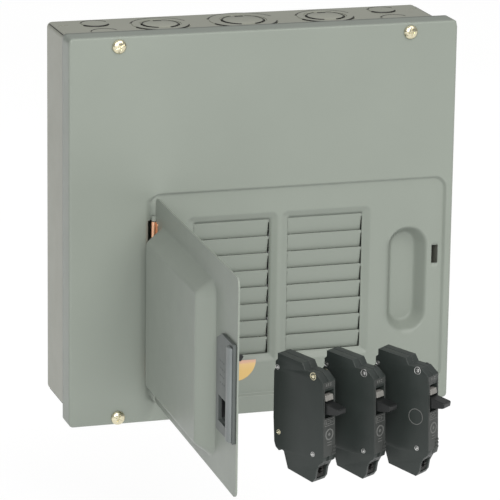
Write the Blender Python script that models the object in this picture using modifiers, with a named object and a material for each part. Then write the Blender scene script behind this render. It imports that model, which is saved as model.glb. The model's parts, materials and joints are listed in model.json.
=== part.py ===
"""Residential load center: steel box, cover with twistouts, hinged door, bus interior and
three half-inch plug-in breakers standing loose in front of it.

Frame: +Z up, the front faces -Y, the origin is the centre of the box's back face (the wall).
Lengths are written in millimetres times MM, so every stored value is in metres.
"""
import bpy
import bmesh
from math import asin, cos, degrees, pi, radians, sin
from mathutils import Matrix, Vector

MM = 0.001
GAP = 0.3 * MM              # air between two pieces that touch
EPS = 1.0 * MM              # how far a cutter runs past the face it opens

# ---- driving sizes -------------------------------------------------------------------------
SHEET = 1.2 * MM            # steel of box, cover and door
BOX_W = 281.5 * MM
BOX_H = 276.5 * MM
BOX_D = 64.5 * MM
BOX_CORNER_R = 3.6 * MM
BOX_SETBACK = 5.0 * MM      # box rim behind the cover's front face
LAP = 1.5 * MM              # cover outside the box, at the left and at the top
SPARE_RIGHT = 8.0 * MM      # cover past the box, at the right
SPARE_BOTTOM = 9.0 * MM     # cover past the box, at the bottom
FLANGE = 19.0 * MM          # depth of the cover's rim
COVER_EDGE_R = 2.4 * MM
COVER_CORNER_R = 4.5 * MM

ROW_PITCH = 12.7 * MM       # one half-inch breaker
ROWS = 8
COLUMN_W = 57.0 * MM        # visible length of a breaker's face
COLUMN_BAR = 14.3 * MM      # between the two columns
COLUMN_OFFSET = 12.7 * MM   # centre of the columns, right of the cover's centre
ROWS_BOTTOM = 43.8 * MM     # above the cover's bottom edge
TRAY_DEPTH = 3.0 * MM
TRAY_SLOPE = 5.5 * MM
SLAT_TILT = 3.2 * MM        # how far a twistout's lower edge leans inward
SLAT_THICK = 1.0 * MM
SLAT_GAP = 0.8 * MM
NIB_W = 2.4 * MM

POCKET_LEFT = 60.0 * MM     # from the cover's left edge
POCKET_RIGHT_EDGE = 6.5 * MM
POCKET_BOTTOM = 14.6 * MM
POCKET_ABOVE_ROWS = 24.2 * MM
POCKET_DEPTH = 2.5 * MM
POCKET_R = 8.0 * MM

DOOR_MARGIN = 1.0 * MM      # door edge to pocket edge
DOOR_OPEN = radians(91.5)
HINGE_FROM_POCKET = 3.0 * MM
HINGE_H = 16.5 * MM
HINGE_INSET = 26.0 * MM     # hinge centre from the door's top or bottom edge
BARREL_R = 2.6 * MM
PIN_R = 0.85 * MM
KNUCKLE_L = 4.0 * MM
DOOR_FACE = 0.9 * MM        # closed door's outer face behind the cover's front face
DOOR_CORNER_R = 6.0 * MM
DISH_RAISE = 12.0 * MM
DISH_RUN = 12.0 * MM
DISH_HINGE_BORDER = 9.0 * MM
DISH_FREE_BORDER = 53.0 * MM
DISH_TOP_BORDER = 16.0 * MM
DISH_BOTTOM_BORDER = 8.4 * MM
DISH_R = 14.0 * MM

RECESS_W = 32.6 * MM        # finger recess in the cover
RECESS_H = 82.0 * MM
RECESS_DEPTH = 12.0 * MM
RECESS_RUN = 8.3 * MM
RECESS_FROM_RIGHT = 27.1 * MM   # recess centre from the pocket's right edge
RECESS_FROM_BOTTOM = 78.5 * MM  # recess centre above the pocket's bottom edge

LATCH_W = 41.7 * MM
LATCH_H = 70.5 * MM
LATCH_FREE_MARGIN = 1.6 * MM
LATCH_BOTTOM = 37.4 * MM    # latch plate above the pocket's bottom
LATCH_PLATE = 2.5 * MM
LATCH_BAR_W = 11.5 * MM
LATCH_BAR = 4.0 * MM
TUB_W = 19.0 * MM
TUB_DEPTH = 6.5 * MM        # behind the door's outer face
TUB_WALL = 1.2 * MM
LATCH_TRAVEL = 3.0 * MM
BOLT_H = 7.0 * MM
BOLT_W = 2.8 * MM
BOLT_REACH = 8.0 * MM
BOLT_SLOT_W = 4.9 * MM
BOLT_SLOT_H = 13.9 * MM
BOLT_SLOT_BOTTOM = 89.7 * MM    # slot's lower end above the pocket's bottom
BOLT_SLOT_RIGHT = 3.2 * MM      # slot's right side from the pocket's right edge

SCREW_SIDE = 36.4 * MM
SCREW_TOP = 7.1 * MM
SCREW_BOTTOM = 5.2 * MM
SCREW_HEAD_R = 5.2 * MM
SCREW_HEAD_H = 2.6 * MM
SCREW_R = 2.0 * MM
SCREW_L = 12.0 * MM
SCREW_CLEAR = 0.4 * MM
EAR_W = 16.0 * MM
EAR_H = 13.5 * MM

STICKER_R = 15.6 * MM
STICKER_T = 0.2 * MM

BREAKER_T = 12.7 * MM
BREAKER_BASE = 35.0 * MM    # above the cover's bottom edge
HANDLE_L = 11.0 * MM
HANDLE_H = 8.0 * MM
HANDLE_W = 8.4 * MM

# ---- places worked out from them -----------------------------------------------------------
FRONT = -(BOX_D + BOX_SETBACK)              # y of the cover's front face
COVER_L = -BOX_W / 2 - LAP
COVER_R = BOX_W / 2 + SPARE_RIGHT
COVER_T = BOX_H / 2 + LAP
COVER_B = -BOX_H / 2 - SPARE_BOTTOM
COLUMN_MID = (COVER_L + COVER_R) / 2 + COLUMN_OFFSET
ROWS_LOW = COVER_B + ROWS_BOTTOM
ROWS_HIGH = ROWS_LOW + ROWS * ROW_PITCH
POCKET_L = COVER_L + POCKET_LEFT
POCKET_R_X = COVER_R - POCKET_RIGHT_EDGE
POCKET_B = COVER_B + POCKET_BOTTOM
POCKET_T = ROWS_HIGH + POCKET_ABOVE_ROWS
POCKET_FLOOR = FRONT + POCKET_DEPTH
HINGE_X = POCKET_L + HINGE_FROM_POCKET
DOOR_B = POCKET_B + DOOR_MARGIN
DOOR_T = POCKET_T - DOOR_MARGIN
DOOR_W = POCKET_R_X - DOOR_MARGIN - HINGE_X  # from the hinge axis to the free edge
RECESS_X = POCKET_R_X - RECESS_FROM_RIGHT
RECESS_Z = POCKET_B + RECESS_FROM_BOTTOM
LATCH_B = POCKET_B + LATCH_BOTTOM
BOX_INNER_BACK = -SHEET

# ---- colours ---------------------------------------------------------------------------------
PAINT = (0.32, 0.355, 0.315)
LATCH_GREY = (0.14, 0.155, 0.155)
BLACK = (0.022, 0.024, 0.023)
PHENOLIC = (0.035, 0.042, 0.038)
ZINC = (0.62, 0.58, 0.42)
STEEL = (0.55, 0.55, 0.53)
ALUMINIUM = (0.72, 0.73, 0.74)
COPPER = (0.62, 0.33, 0.17)
YELLOW = (0.72, 0.45, 0.13)


# ---- scene ---------------------------------------------------------------------------------
def clear_scene():
    for obj in list(bpy.data.objects):
        bpy.data.objects.remove(obj, do_unlink=True)


def make_collection(name):
    collection = bpy.data.collections.new(name)
    bpy.context.scene.collection.children.link(collection)
    return collection


clear_scene()
PARTS = make_collection("residential_load_center")
CUTTERS = make_collection("cutters")


def material(name, colour, roughness, metallic):
    mat = bpy.data.materials.new(name)
    mat.use_nodes = True
    shader = mat.node_tree.nodes["Principled BSDF"]
    shader.inputs["Base Color"].default_value = (*colour, 1.0)
    shader.inputs["Roughness"].default_value = roughness
    shader.inputs["Metallic"].default_value = metallic
    return mat


def add_object(name, bm):
    """A new object from a bmesh, in the parts collection, normals outward."""
    bmesh.ops.recalc_face_normals(bm, faces=bm.faces)
    mesh = bpy.data.meshes.new(name)
    bm.to_mesh(mesh)
    bm.free()
    obj = bpy.data.objects.new(name, mesh)
    PARTS.objects.link(obj)
    return obj


def finish(obj, colour, roughness=0.5, metallic=0.0, parent=None, smooth=True):
    """Give a part its own material, its smooth shading and its parent."""
    obj.data.materials.clear()
    obj.data.materials.append(material(obj.name, colour, roughness, metallic))
    if smooth:
        obj.data.shade_smooth()
        obj.data.set_sharp_from_angle(angle=radians(30))
    if parent is not None:
        ride_with(obj, parent)
    return obj


def ride_with(obj, parent):
    """Parent a part and whatever cuts or joins it, so that they keep their places."""
    obj.parent = parent
    for mod in obj.modifiers:
        if mod.type == "BOOLEAN":
            ride_with(mod.object, parent)


def pivot(name, location, turn=0.0):
    """An empty on a joint's axis, turned about Z."""
    empty = bpy.data.objects.new(name, None)
    empty.location = location
    empty.rotation_euler = (0.0, 0.0, turn)
    empty.empty_display_size = 0.01
    PARTS.objects.link(empty)
    return empty


# ---- shapes --------------------------------------------------------------------------------
def add_box(bm, lo, hi, lean=0.0):
    """One box in bm from corner lo to corner hi; lean moves its lower edges along +Y."""
    verts = bmesh.ops.create_cube(bm, size=1.0)["verts"]
    for vert in verts:
        low = vert.co.z < 0
        vert.co = Vector([lo[i] + (vert.co[i] + 0.5) * (hi[i] - lo[i]) for i in range(3)])
        if low:
            vert.co.y += lean


def boxes(name, corners, lean=0.0):
    bm = bmesh.new()
    for lo, hi in corners:
        add_box(bm, lo, hi, lean)
    return add_object(name, bm)


def box(name, lo, hi):
    return boxes(name, [(lo, hi)])


AXES = {
    "x": Matrix.Rotation(pi / 2, 4, "Y"),
    "y": Matrix.Rotation(-pi / 2, 4, "X"),
    "z": Matrix.Identity(4),
}


def add_rod(bm, base, axis, length, radius, sides=24):
    """A cylinder in bm that starts at base and runs along +axis."""
    turn = AXES[axis]
    place = Matrix.Translation(Vector(base) + turn.to_3x3() @ Vector((0, 0, length / 2))) @ turn
    bmesh.ops.create_cone(
        bm, cap_ends=True, segments=sides, radius1=radius, radius2=radius,
        depth=length, matrix=place)


def rods(name, specs, sides=24):
    bm = bmesh.new()
    for base, axis, length, radius in specs:
        add_rod(bm, base, axis, length, radius, sides=sides)
    return add_object(name, bm)


def rod(name, base, axis, length, radius, sides=24):
    return rods(name, [(base, axis, length, radius)], sides)


def rounded_rect(x0, x1, z0, z1, radius, steps=6):
    """Points of a rectangle with round corners, counter-clockwise."""
    points = []
    corners = ((x1 - radius, z1 - radius, 0), (x0 + radius, z1 - radius, 1),
               (x0 + radius, z0 + radius, 2), (x1 - radius, z0 + radius, 3))
    for cx, cz, quarter in corners:
        for i in range(steps + 1):
            a = (quarter + i / steps) * pi / 2
            points.append((cx + radius * cos(a), cz + radius * sin(a)))
    return points


def loft(name, sections):
    """A closed solid through sections [(y, [(x, z), ...]), ...] of equal point counts."""
    bm = bmesh.new()
    rings = []
    for y, points in sections:
        rings.append([bm.verts.new((x, y, z)) for x, z in points])
    for ring_a, ring_b in zip(rings, rings[1:]):
        count = len(ring_a)
        for i in range(count):
            j = (i + 1) % count
            bm.faces.new((ring_a[i], ring_a[j], ring_b[j], ring_b[i]))
    bm.faces.new(rings[0])
    bm.faces.new(rings[-1])
    return add_object(name, bm)


def pad(name, rect, radius, y0, y1, run=0.0, steps=6):
    """A block with round corners; its far end (y1) is smaller by run on every side."""
    x0, x1, z0, z1 = rect
    far_r = max(radius - run, 0.4 * MM)
    near = rounded_rect(x0, x1, z0, z1, radius, steps)
    far = rounded_rect(x0 + run, x1 - run, z0 + run, z1 - run, far_r, steps)
    return loft(name, [(y0, near), (y1, far)])


def grow(rect, by):
    return (rect[0] - by, rect[1] + by, rect[2] - by, rect[3] + by)


def outline(name, loops, low, high, plane="xy"):
    """Flat outlines as a filled 2D curve, from low to high along the plane's normal."""
    curve = bpy.data.curves.new(name, "CURVE")
    curve.dimensions = "2D"
    curve.fill_mode = "BOTH"
    curve.extrude = (high - low) / 2
    for loop in loops:
        spline = curve.splines.new("POLY")
        spline.points.add(len(loop) - 1)
        for point, (u, v) in zip(spline.points, loop):
            point.co = (u, v, 0.0, 1.0)
        spline.use_cyclic_u = True
    source = bpy.data.objects.new(name + "_curve", curve)
    PARTS.objects.link(source)
    middle = (low + high) / 2
    turns = {
        "xy": Matrix.Translation((0, 0, middle)),
        "xz": Matrix.Translation((0, middle, 0)) @ Matrix.Rotation(pi / 2, 4, "X"),
        "yz": Matrix.Translation((middle, 0, 0)) @ Matrix(
            ((0, 0, 1, 0), (1, 0, 0, 0), (0, 1, 0, 0), (0, 0, 0, 1))),
    }
    bpy.context.view_layer.update()
    mesh = bpy.data.meshes.new_from_object(
        source.evaluated_get(bpy.context.evaluated_depsgraph_get()))
    bpy.data.objects.remove(source, do_unlink=True)
    bm = bmesh.new()
    bm.from_mesh(mesh)
    bpy.data.meshes.remove(mesh)
    bmesh.ops.remove_doubles(bm, verts=bm.verts, dist=0.00001)
    bmesh.ops.transform(bm, matrix=turns[plane], verts=bm.verts)
    return add_object(name, bm)


def arc(cx, cy, radius, start, stop, steps):
    """Points of an arc about (cx, cy), angles in degrees."""
    points = []
    for i in range(steps + 1):
        a = radians(start + (stop - start) * i / steps)
        points.append((cx + radius * cos(a), cy + radius * sin(a)))
    return points


def arc_slot(cx, cy, radius, width, start, stop, steps=8):
    outer = arc(cx, cy, radius + width / 2, start, stop, steps)
    inner = arc(cx, cy, radius - width / 2, stop, start, steps)
    return outer + inner


def bevel(obj, width, segments=2, angle=40):
    mod = obj.modifiers.new("bevel", "BEVEL")
    mod.width = width
    mod.segments = segments
    mod.limit_method = "ANGLE"
    mod.angle_limit = radians(angle)
    return obj


def put_away(obj):
    PARTS.objects.unlink(obj)
    CUTTERS.objects.link(obj)
    obj.hide_render = True
    obj.display_type = "WIRE"


def boolean(target, others, operation):
    for other in others:
        mod = target.modifiers.new(operation.lower(), "BOOLEAN")
        mod.operation = operation
        mod.solver = "EXACT"
        mod.object = other
        if other.name not in CUTTERS.objects:
            put_away(other)
    return target


def cut(target, *others):
    return boolean(target, others, "DIFFERENCE")


def join(target, *others):
    return boolean(target, others, "UNION")


# ---- box -----------------------------------------------------------------------------------
def screw_places():
    """Cover screws as (name, x, z, ear's lower and upper z)."""
    top = COVER_T - SCREW_TOP
    bottom = COVER_B + SCREW_BOTTOM
    box_top = BOX_H / 2
    box_bottom = -BOX_H / 2
    ear_low = COVER_B + SHEET + 2 * GAP
    places = []
    for side, x in (("left", COVER_L + SCREW_SIDE), ("right", COVER_R - SCREW_SIDE)):
        places.append(("top_" + side, x, top, box_top - EAR_H, box_top - GAP))
        places.append(("bottom_" + side, x, bottom, ear_low, box_bottom + SHEET))
    return places


KNOCKOUT_Y = -0.41 * BOX_D      # row of large knockouts, from the wall
KNOCKOUT_SLOT = 1.1 * MM
LARGE_KNOCKOUTS = ((-0.226, 22.0, 14.0), (-0.005, 26.0, 16.0), (0.218, 22.0, 14.5))
SMALL_KNOCKOUT_R = 11.0 * MM
SMALL_KNOCKOUT_SIDE = 31.5 * MM     # from the box's side
SMALL_KNOCKOUT_ROWS = (-14.5 * MM, -44.5 * MM)
KEYHOLE_R = 4.5 * MM
KEYHOLE_SLOT = 4.4 * MM


def knockout_loops():
    """Arc slots of every knockout of one end wall, with the ties left between them."""
    loops = []
    for share, outer, inner in LARGE_KNOCKOUTS:
        x = share * BOX_W
        for start, stop in ((20, 160), (200, 340)):
            loops.append(arc_slot(x, KNOCKOUT_Y, outer * MM, KNOCKOUT_SLOT, start, stop, 8))
        for start, stop in ((110, 250), (290, 430)):
            loops.append(arc_slot(x, KNOCKOUT_Y, inner * MM, KNOCKOUT_SLOT, start, stop, 6))
    for side in (-1, 1):
        x = side * (BOX_W / 2 - SMALL_KNOCKOUT_SIDE)
        for y in SMALL_KNOCKOUT_ROWS:
            for start, stop in ((25, 155), (205, 335)):
                loops.append(arc_slot(x, y, SMALL_KNOCKOUT_R, KNOCKOUT_SLOT, start, stop, 6))
        slot_x = side * (BOX_W / 2 - 8.0 * MM)
        loops.append(rounded_rect(slot_x - 3.5 * MM, slot_x + 3.5 * MM,
                                  -16.2 * MM, -13.8 * MM, 1.1 * MM, 2))
    return loops


def keyhole(x, z):
    """A round hole with a narrow slot above it, as one outline."""
    half = KEYHOLE_SLOT / 2
    mouth = degrees(asin(half / KEYHOLE_R))
    points = arc(x, z, KEYHOLE_R, 90 + mouth, 450 - mouth, 16)
    return points + arc(x, z + 9.0 * MM, half, 0, 180, 6)


def make_box():
    half_w, half_h = BOX_W / 2, BOX_H / 2
    rect = (-half_w, half_w, -half_h, half_h)
    shell = pad("box", rect, BOX_CORNER_R, -BOX_D, 0, 0, 4)
    hollow = pad("box_hollow", grow(rect, -SHEET), BOX_CORNER_R - SHEET, -BOX_D - EPS, -SHEET, 0, 4)
    ears = []
    for name, x, _, low, high in screw_places():
        ears.append(box("ear_" + name, (x - EAR_W / 2, -BOX_D, low),
                        (x + EAR_W / 2, -BOX_D + SHEET, high)))
    holes = [((x, -BOX_D - EPS, z), "y", SHEET + 2 * EPS, SCREW_R + SCREW_CLEAR)
             for _, x, z, _, _ in screw_places()]
    top_slots = outline("top_knockouts", knockout_loops(), half_h - SHEET - EPS, half_h + EPS)
    bottom_slots = outline("bottom_knockouts", knockout_loops(),
                           -half_h - EPS, -half_h + SHEET + EPS)
    keyholes = outline("keyholes", [keyhole(-half_w + 50 * MM, half_h - 45 * MM),
                                    keyhole(half_w - 50 * MM, half_h - 45 * MM),
                                    keyhole(0, -half_h + 40 * MM)],
                       -SHEET - EPS, EPS, "xz")
    side_slots = []
    for x in (-half_w, half_w):
        for z in (half_h - 33 * MM, -half_h + 33 * MM):
            side_slots.append(((x - EPS - SHEET, -BOX_D + 8.8 * MM, z - 4.5 * MM),
                               (x + EPS + SHEET, -BOX_D + 10.4 * MM, z + 4.5 * MM)))
    cut(shell, hollow)
    join(shell, *ears)
    cut(shell, rods("ear_holes", holes, 16), top_slots, bottom_slots, keyholes,
        boxes("side_slots", side_slots))
    return finish(shell, PAINT, 0.45)


# ---- cover ---------------------------------------------------------------------------------
def column_spans():
    """Left and right x of each twistout column."""
    inner = COLUMN_BAR / 2
    return ((COLUMN_MID - inner - COLUMN_W, COLUMN_MID - inner),
            (COLUMN_MID + inner, COLUMN_MID + inner + COLUMN_W))


def recess_rect():
    return (RECESS_X - RECESS_W / 2, RECESS_X + RECESS_W / 2,
            RECESS_Z - RECESS_H / 2, RECESS_Z + RECESS_H / 2)


def hinge_centres():
    return (("upper", DOOR_T - HINGE_INSET), ("lower", DOOR_B + HINGE_INSET))


def bolt_slot():
    """x and z spans of the slot that takes the latch bolt."""
    x1 = POCKET_R_X - BOLT_SLOT_RIGHT
    z0 = POCKET_B + BOLT_SLOT_BOTTOM
    return x1 - BOLT_SLOT_W, x1, z0, z0 + BOLT_SLOT_H


def make_slats(floor_y):
    """Both columns of twistouts: leaning strips, each held by two nibs."""
    strips, nibs = [], []
    for x0, x1 in column_spans():
        for row in range(ROWS):
            low = ROWS_LOW + row * ROW_PITCH + SLAT_GAP / 2
            high = low + ROW_PITCH - SLAT_GAP
            strips.append(((x0 + SLAT_GAP, floor_y, low),
                           (x1 - SLAT_GAP, floor_y + SLAT_THICK, high)))
            for edge in (x0, x1):
                nibs.append(((edge - NIB_W, floor_y + 0.2 * MM, high - NIB_W),
                             (edge + NIB_W, floor_y + 0.8 * SLAT_THICK, high - 0.2 * MM)))
    return boxes("slats", strips, SLAT_TILT), boxes("nibs", nibs)


def make_cover():
    outer = (COVER_L, COVER_R, COVER_B, COVER_T)
    back = FRONT + FLANGE
    edge = COVER_EDGE_R

    def pan(name, rect, corner, y0, y1, nose):
        """A block whose front edge is rounded by a quarter circle of radius nose."""
        sections = []
        for i in range(5):
            a = i / 4 * pi / 2
            inset = nose * (1 - sin(a))
            points = rounded_rect(rect[0] + inset, rect[1] - inset, rect[2] + inset,
                                  rect[3] - inset, corner - inset, 5)
            sections.append((y0 + nose * (1 - cos(a)), points))
        sections.append((y1, rounded_rect(*rect, corner, 5)))
        return loft(name, sections)

    cover = pan("cover", outer, COVER_CORNER_R, FRONT, back, edge)
    hollow = pan("cover_hollow", grow(outer, -SHEET), COVER_CORNER_R - SHEET,
                 FRONT + SHEET, back + EPS, edge - SHEET)
    pocket = (POCKET_L, POCKET_R_X, POCKET_B, POCKET_T)
    pocket_back = pad("pocket_back", grow(pocket, SHEET), POCKET_R, FRONT + SHEET / 2,
                      POCKET_FLOOR + SHEET)
    pocket_cut = pad("pocket_cut", pocket, POCKET_R, FRONT - EPS, POCKET_FLOOR)
    tray_floor = POCKET_FLOOR + TRAY_DEPTH
    backs, trays, openings = [], [], []
    for index, (x0, x1) in enumerate(column_spans()):
        rect = (x0 - TRAY_SLOPE, x1 + TRAY_SLOPE, ROWS_LOW - TRAY_SLOPE, ROWS_HIGH + TRAY_SLOPE)
        backs.append(pad(f"tray_back_{index}", grow(rect, SHEET / 2), 3 * MM,
                         POCKET_FLOOR + SHEET / 2, tray_floor + SHEET, TRAY_SLOPE - 2 * MM, 3))
        trays.append(pad(f"tray_{index}", rect, 3 * MM, POCKET_FLOOR - 0.02 * MM, tray_floor,
                         TRAY_SLOPE - 0.5 * MM, 3))
        openings.append(((x0, FRONT, ROWS_LOW), (x1, FRONT + FLANGE, ROWS_HIGH)))
    deep = POCKET_FLOOR + RECESS_DEPTH
    cup_r = RECESS_W / 2 - 0.1 * MM
    cup_back = pad("cup_back", grow(recess_rect(), SHEET), cup_r + SHEET,
                   POCKET_FLOOR + SHEET / 2, deep + SHEET, RECESS_RUN)
    cup = pad("cup", recess_rect(), cup_r, POCKET_FLOOR - 0.02 * MM, deep, RECESS_RUN)
    x0, x1, z0, z1 = bolt_slot()
    slots = [((x0, FRONT, z0), (x1, FRONT + FLANGE / 2, z1))]
    for _, z in hinge_centres():
        slots.append(((POCKET_L + 0.4 * MM, FRONT, z - HINGE_H / 2 - 2 * GAP),
                      (POCKET_L + 7.4 * MM, FRONT + FLANGE / 2, z + HINGE_H / 2 + 2 * GAP)))
    holes = [((x, FRONT - EPS, z), "y", SHEET + 2 * EPS, SCREW_R + SCREW_CLEAR)
             for _, x, z, _, _ in screw_places()]
    slats, nibs = make_slats(tray_floor)
    cut(cover, hollow)
    join(cover, pocket_back, *backs, cup_back)
    cut(cover, pocket_cut, *trays, cup, boxes("column_openings", openings),
        boxes("cover_slots", slots), rods("cover_screw_holes", holes, 16))
    join(cover, slats, nibs)
    return finish(cover, PAINT, 0.42)


def make_sticker():
    """Half-moon label below the twistouts."""
    x = COVER_L + 126.0 * MM
    z = ROWS_LOW - 3.2 * MM
    label = outline("sticker", [arc(x, z, STICKER_R, 180, 360, 20)],
                    POCKET_FLOOR - STICKER_T - GAP / 2, POCKET_FLOOR - GAP / 2, "xz")
    return finish(label, YELLOW, 0.6)


def pan_head_screw(name, x, z):
    """Cover screw: pan head with a cross and slot recess, shank along +Y."""
    head = rod(name, (x, FRONT - GAP - SCREW_HEAD_H, z), "y", SCREW_HEAD_H, SCREW_HEAD_R, 20)
    bevel(head, 1.1 * MM, 2, 50)
    join(head, rod(name + "_shank", (x, FRONT - SCREW_HEAD_H / 2, z), "y",
                   SCREW_L + SCREW_HEAD_H / 2, SCREW_R, 12))
    face = FRONT - GAP - SCREW_HEAD_H
    arm, half = 2.6 * MM, 0.55 * MM
    cut(head, box(name + "_slot", (x - SCREW_HEAD_R, face - EPS, z - half),
                  (x + SCREW_HEAD_R, face + 0.9 * MM, z + half)),
        box(name + "_cross", (x - half, face - EPS, z - arm), (x + half, face + 1.3 * MM, z + arm)))
    return finish(head, ZINC, 0.3, 1.0)


# ---- hinges and door -----------------------------------------------------------------------
def make_hinges():
    for name, z in hinge_centres():
        low = z - HINGE_H / 2
        barrel = rod("hinge_" + name, (HINGE_X, FRONT, low), "z", HINGE_H, BARREL_R, 24)
        back = POCKET_FLOOR + SHEET + GAP
        neck = box("hinge_neck_" + name, (HINGE_X - 1.4 * MM, FRONT + 1.3 * MM, low + EPS),
                   (HINGE_X + 1.4 * MM, back + SHEET / 2, low + HINGE_H - EPS))
        leaf = box("hinge_leaf_" + name, (HINGE_X - 1.4 * MM, back, low + EPS),
                   (HINGE_X + 13 * MM, back + SHEET, low + HINGE_H - EPS))
        join(barrel, neck, leaf)
        cut(barrel, rod("hinge_bore_" + name, (HINGE_X, FRONT, low - EPS), "z",
                        HINGE_H + 2 * EPS, PIN_R + GAP, 16))
        finish(barrel, COPPER, 0.3, 1.0)


def make_door(swing):
    """Door sheet, modelled closed and relative to the hinge axis."""
    z0, z1 = DOOR_B, DOOR_T
    face, inner = DOOR_FACE, DOOR_FACE + SHEET
    door = pad("door", (0.4 * MM, DOOR_W, z0, z1), DOOR_CORNER_R, face, inner, 0, 5)
    foot = (DISH_HINGE_BORDER, DOOR_W - DISH_FREE_BORDER, z0 + DISH_BOTTOM_BORDER,
            z1 - DISH_TOP_BORDER)
    raised = pad("dish", foot, DISH_R, face + SHEET / 2, face - DISH_RAISE, DISH_RUN, 8)
    hollow = pad("dish_hollow", grow(foot, -SHEET), DISH_R - SHEET, inner + 0.02 * MM,
                 face - DISH_RAISE + SHEET, DISH_RUN, 8)
    tub = tub_rect()
    x0, x1, s0, s1 = bolt_slot()
    knuckles, notches, bores = [], [], []
    for _, z in hinge_centres():
        low = z - HINGE_H / 2 - GAP
        high = z + HINGE_H / 2 + GAP
        knuckles.append(((0, 0, low - KNUCKLE_L), "z", KNUCKLE_L, 2.2 * MM))
        knuckles.append(((0, 0, high), "z", KNUCKLE_L, 2.2 * MM))
        notches.append(((0, 0, low), "z", high - low, BARREL_R + 2 * GAP))
        bores.append(((0, 0, low - KNUCKLE_L - EPS), "z", high - low + 2 * KNUCKLE_L + 2 * EPS,
                      PIN_R + GAP))
    join(door, raised)
    cut(door, hollow, rods("door_notches", notches, 24))
    join(door, rods("door_knuckles", knuckles, 20))
    cut(door, rods("door_pin_bores", bores, 16),
        box("door_latch_hole", (tub[0] - GAP, -EPS, tub[2] - GAP), (tub[1] + GAP, 2 * inner, tub[3] + GAP)),
        box("door_bolt_slot", (x0 - HINGE_X, -EPS, s0 + 0.5 * MM), (x1 - HINGE_X, 2 * inner, s1 + 0.5 * MM)))
    return finish(door, PAINT, 0.42, parent=swing)


def make_hinge_pins(swing):
    for name, z in hinge_centres():
        reach = HINGE_H / 2 + GAP + KNUCKLE_L
        pin = rod("hinge_pin_" + name, (0, 0, z - reach), "z", 2 * reach, PIN_R, 16)
        finish(pin, STEEL, 0.3, 1.0, swing)


# ---- latch ---------------------------------------------------------------------------------
def latch_rect():
    """Latch plate on the closed door, x measured from the hinge axis."""
    x1 = DOOR_W - LATCH_FREE_MARGIN
    return (x1 - LATCH_W, x1, LATCH_B, LATCH_B + LATCH_H)


def tub_rect():
    """The latch's tub through the door, centred on the cover's finger recess."""
    mid = RECESS_X - HINGE_X - 0.9 * MM
    return (mid - TUB_W / 2, mid + TUB_W / 2, LATCH_B + 9.0 * MM, LATCH_B + LATCH_H - 4.5 * MM)


def window_rect():
    tub = tub_rect()
    return (tub[0] + 1.5 * MM, tub[0] + 13.0 * MM, tub[2] + 1.5 * MM, tub[2] + 17.5 * MM)


def bolt_span():
    """x and z spans of the bolt, resting low in its slot."""
    x0, x1, z0, _ = bolt_slot()
    mid = (x0 + x1) / 2 - HINGE_X
    low = z0 + 1.7 * MM
    return mid - BOLT_W / 2, mid + BOLT_W / 2, low, low + BOLT_H


def make_latch_housing(swing):
    x0, x1, z0, z1 = latch_rect()
    face = DOOR_FACE
    top = face - LATCH_PLATE
    chop = 6.0 * MM
    shape = [(x0, z0), (x1, z0 + 1.5 * MM), (x1, z1), (x0 + 2.2 * chop, z1), (x0, z1 - chop)]
    plate = outline("latch_housing", [shape], top, face - GAP, "xz")
    bar = pad("latch_bar", (x1 - LATCH_BAR_W, x1 - 0.5 * MM, z0 + 2 * MM, z1 - 2.5 * MM), MM,
              face - GAP, face - LATCH_BAR, 0.5 * MM, 3)
    tub = tub_rect()
    tub_block = box("latch_tub", (tub[0], top + SHEET / 2, tub[2]),
                    (tub[1], face + TUB_DEPTH, tub[3]))
    skin = top + TUB_WALL
    cavity = box("latch_cavity", (tub[0] + TUB_WALL, skin, tub[2] + TUB_WALL),
                 (tub[1] - TUB_WALL, face + TUB_DEPTH + EPS, tub[3] - TUB_WALL))
    bx0, bx1, bz0, bz1 = bolt_span()
    tunnel = box("latch_tunnel", (tub[1] - 2 * TUB_WALL, skin - 0.1 * MM, bz0 - 1.5 * MM),
                 (bx1 + 0.8 * MM, face + EPS, bz1 + LATCH_TRAVEL + 1.5 * MM))
    window = window_rect()
    mouth = box("latch_window", (window[0], top - LATCH_BAR, window[2]),
                (window[1], skin + EPS, window[3]))
    join(plate, bar, tub_block)
    cut(plate, cavity, tunnel, mouth)
    return finish(plate, LATCH_GREY, 0.42, parent=swing)


def make_latch_slider(swing):
    """Thumb slide and bolt in one moulding; it slides up along the door."""
    tub = tub_rect()
    face = DOOR_FACE
    skin = face - LATCH_PLATE + TUB_WALL
    wall = TUB_WALL + GAP
    x0, x1 = tub[0] + wall, tub[1] - wall
    z0 = tub[2] + wall
    bx0, bx1, bz0, bz1 = bolt_span()
    slide = box("latch_slider", (x0, skin + GAP, z0), (x1, face + TUB_DEPTH - MM, bz1))
    arm = box("bolt_arm", (x1 - MM, skin + 0.2 * MM, bz0), (bx1, face - 2 * GAP, bz1))
    bolt = box("bolt", (bx0, skin + 0.25 * MM, bz0), (bx1, face + BOLT_REACH, bz1))
    window = window_rect()
    scoop = pad("thumb_scoop", (window[0] + 0.6 * MM, window[1] - 0.6 * MM, window[2] + 0.8 * MM,
                                window[3] - 0.8 * MM), 2 * MM, skin - EPS,
                face + TUB_DEPTH - 2.6 * MM, 1.2 * MM, 4)
    join(slide, arm, bolt)
    cut(slide, scoop)
    return finish(slide, BLACK, 0.4, parent=swing)


# ---- interior ------------------------------------------------------------------------------
INTERIOR_LOW = ROWS_LOW - 10 * MM
INTERIOR_HIGH = ROWS_HIGH + 92 * MM
PAN_HALF = 62.0 * MM
PAN_STAND = 9.5 * MM        # pan's face in front of the box's back panel
BASE_HALF = 48.0 * MM
BASE_T = 7.5 * MM
BUS_X = 18.0 * MM           # bus bar centre from the interior's centre line
BUS_W = 12.0 * MM
BUS_T = 2.5 * MM
BUS_GROOVE = 1.5 * MM       # how far the bars sink into the base
STAB_REACH = 14.0 * MM
STAB_T = 1.6 * MM
LUG_W = 17.0 * MM
LUG_H = 22.0 * MM
LUG_D = 14.0 * MM


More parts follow.
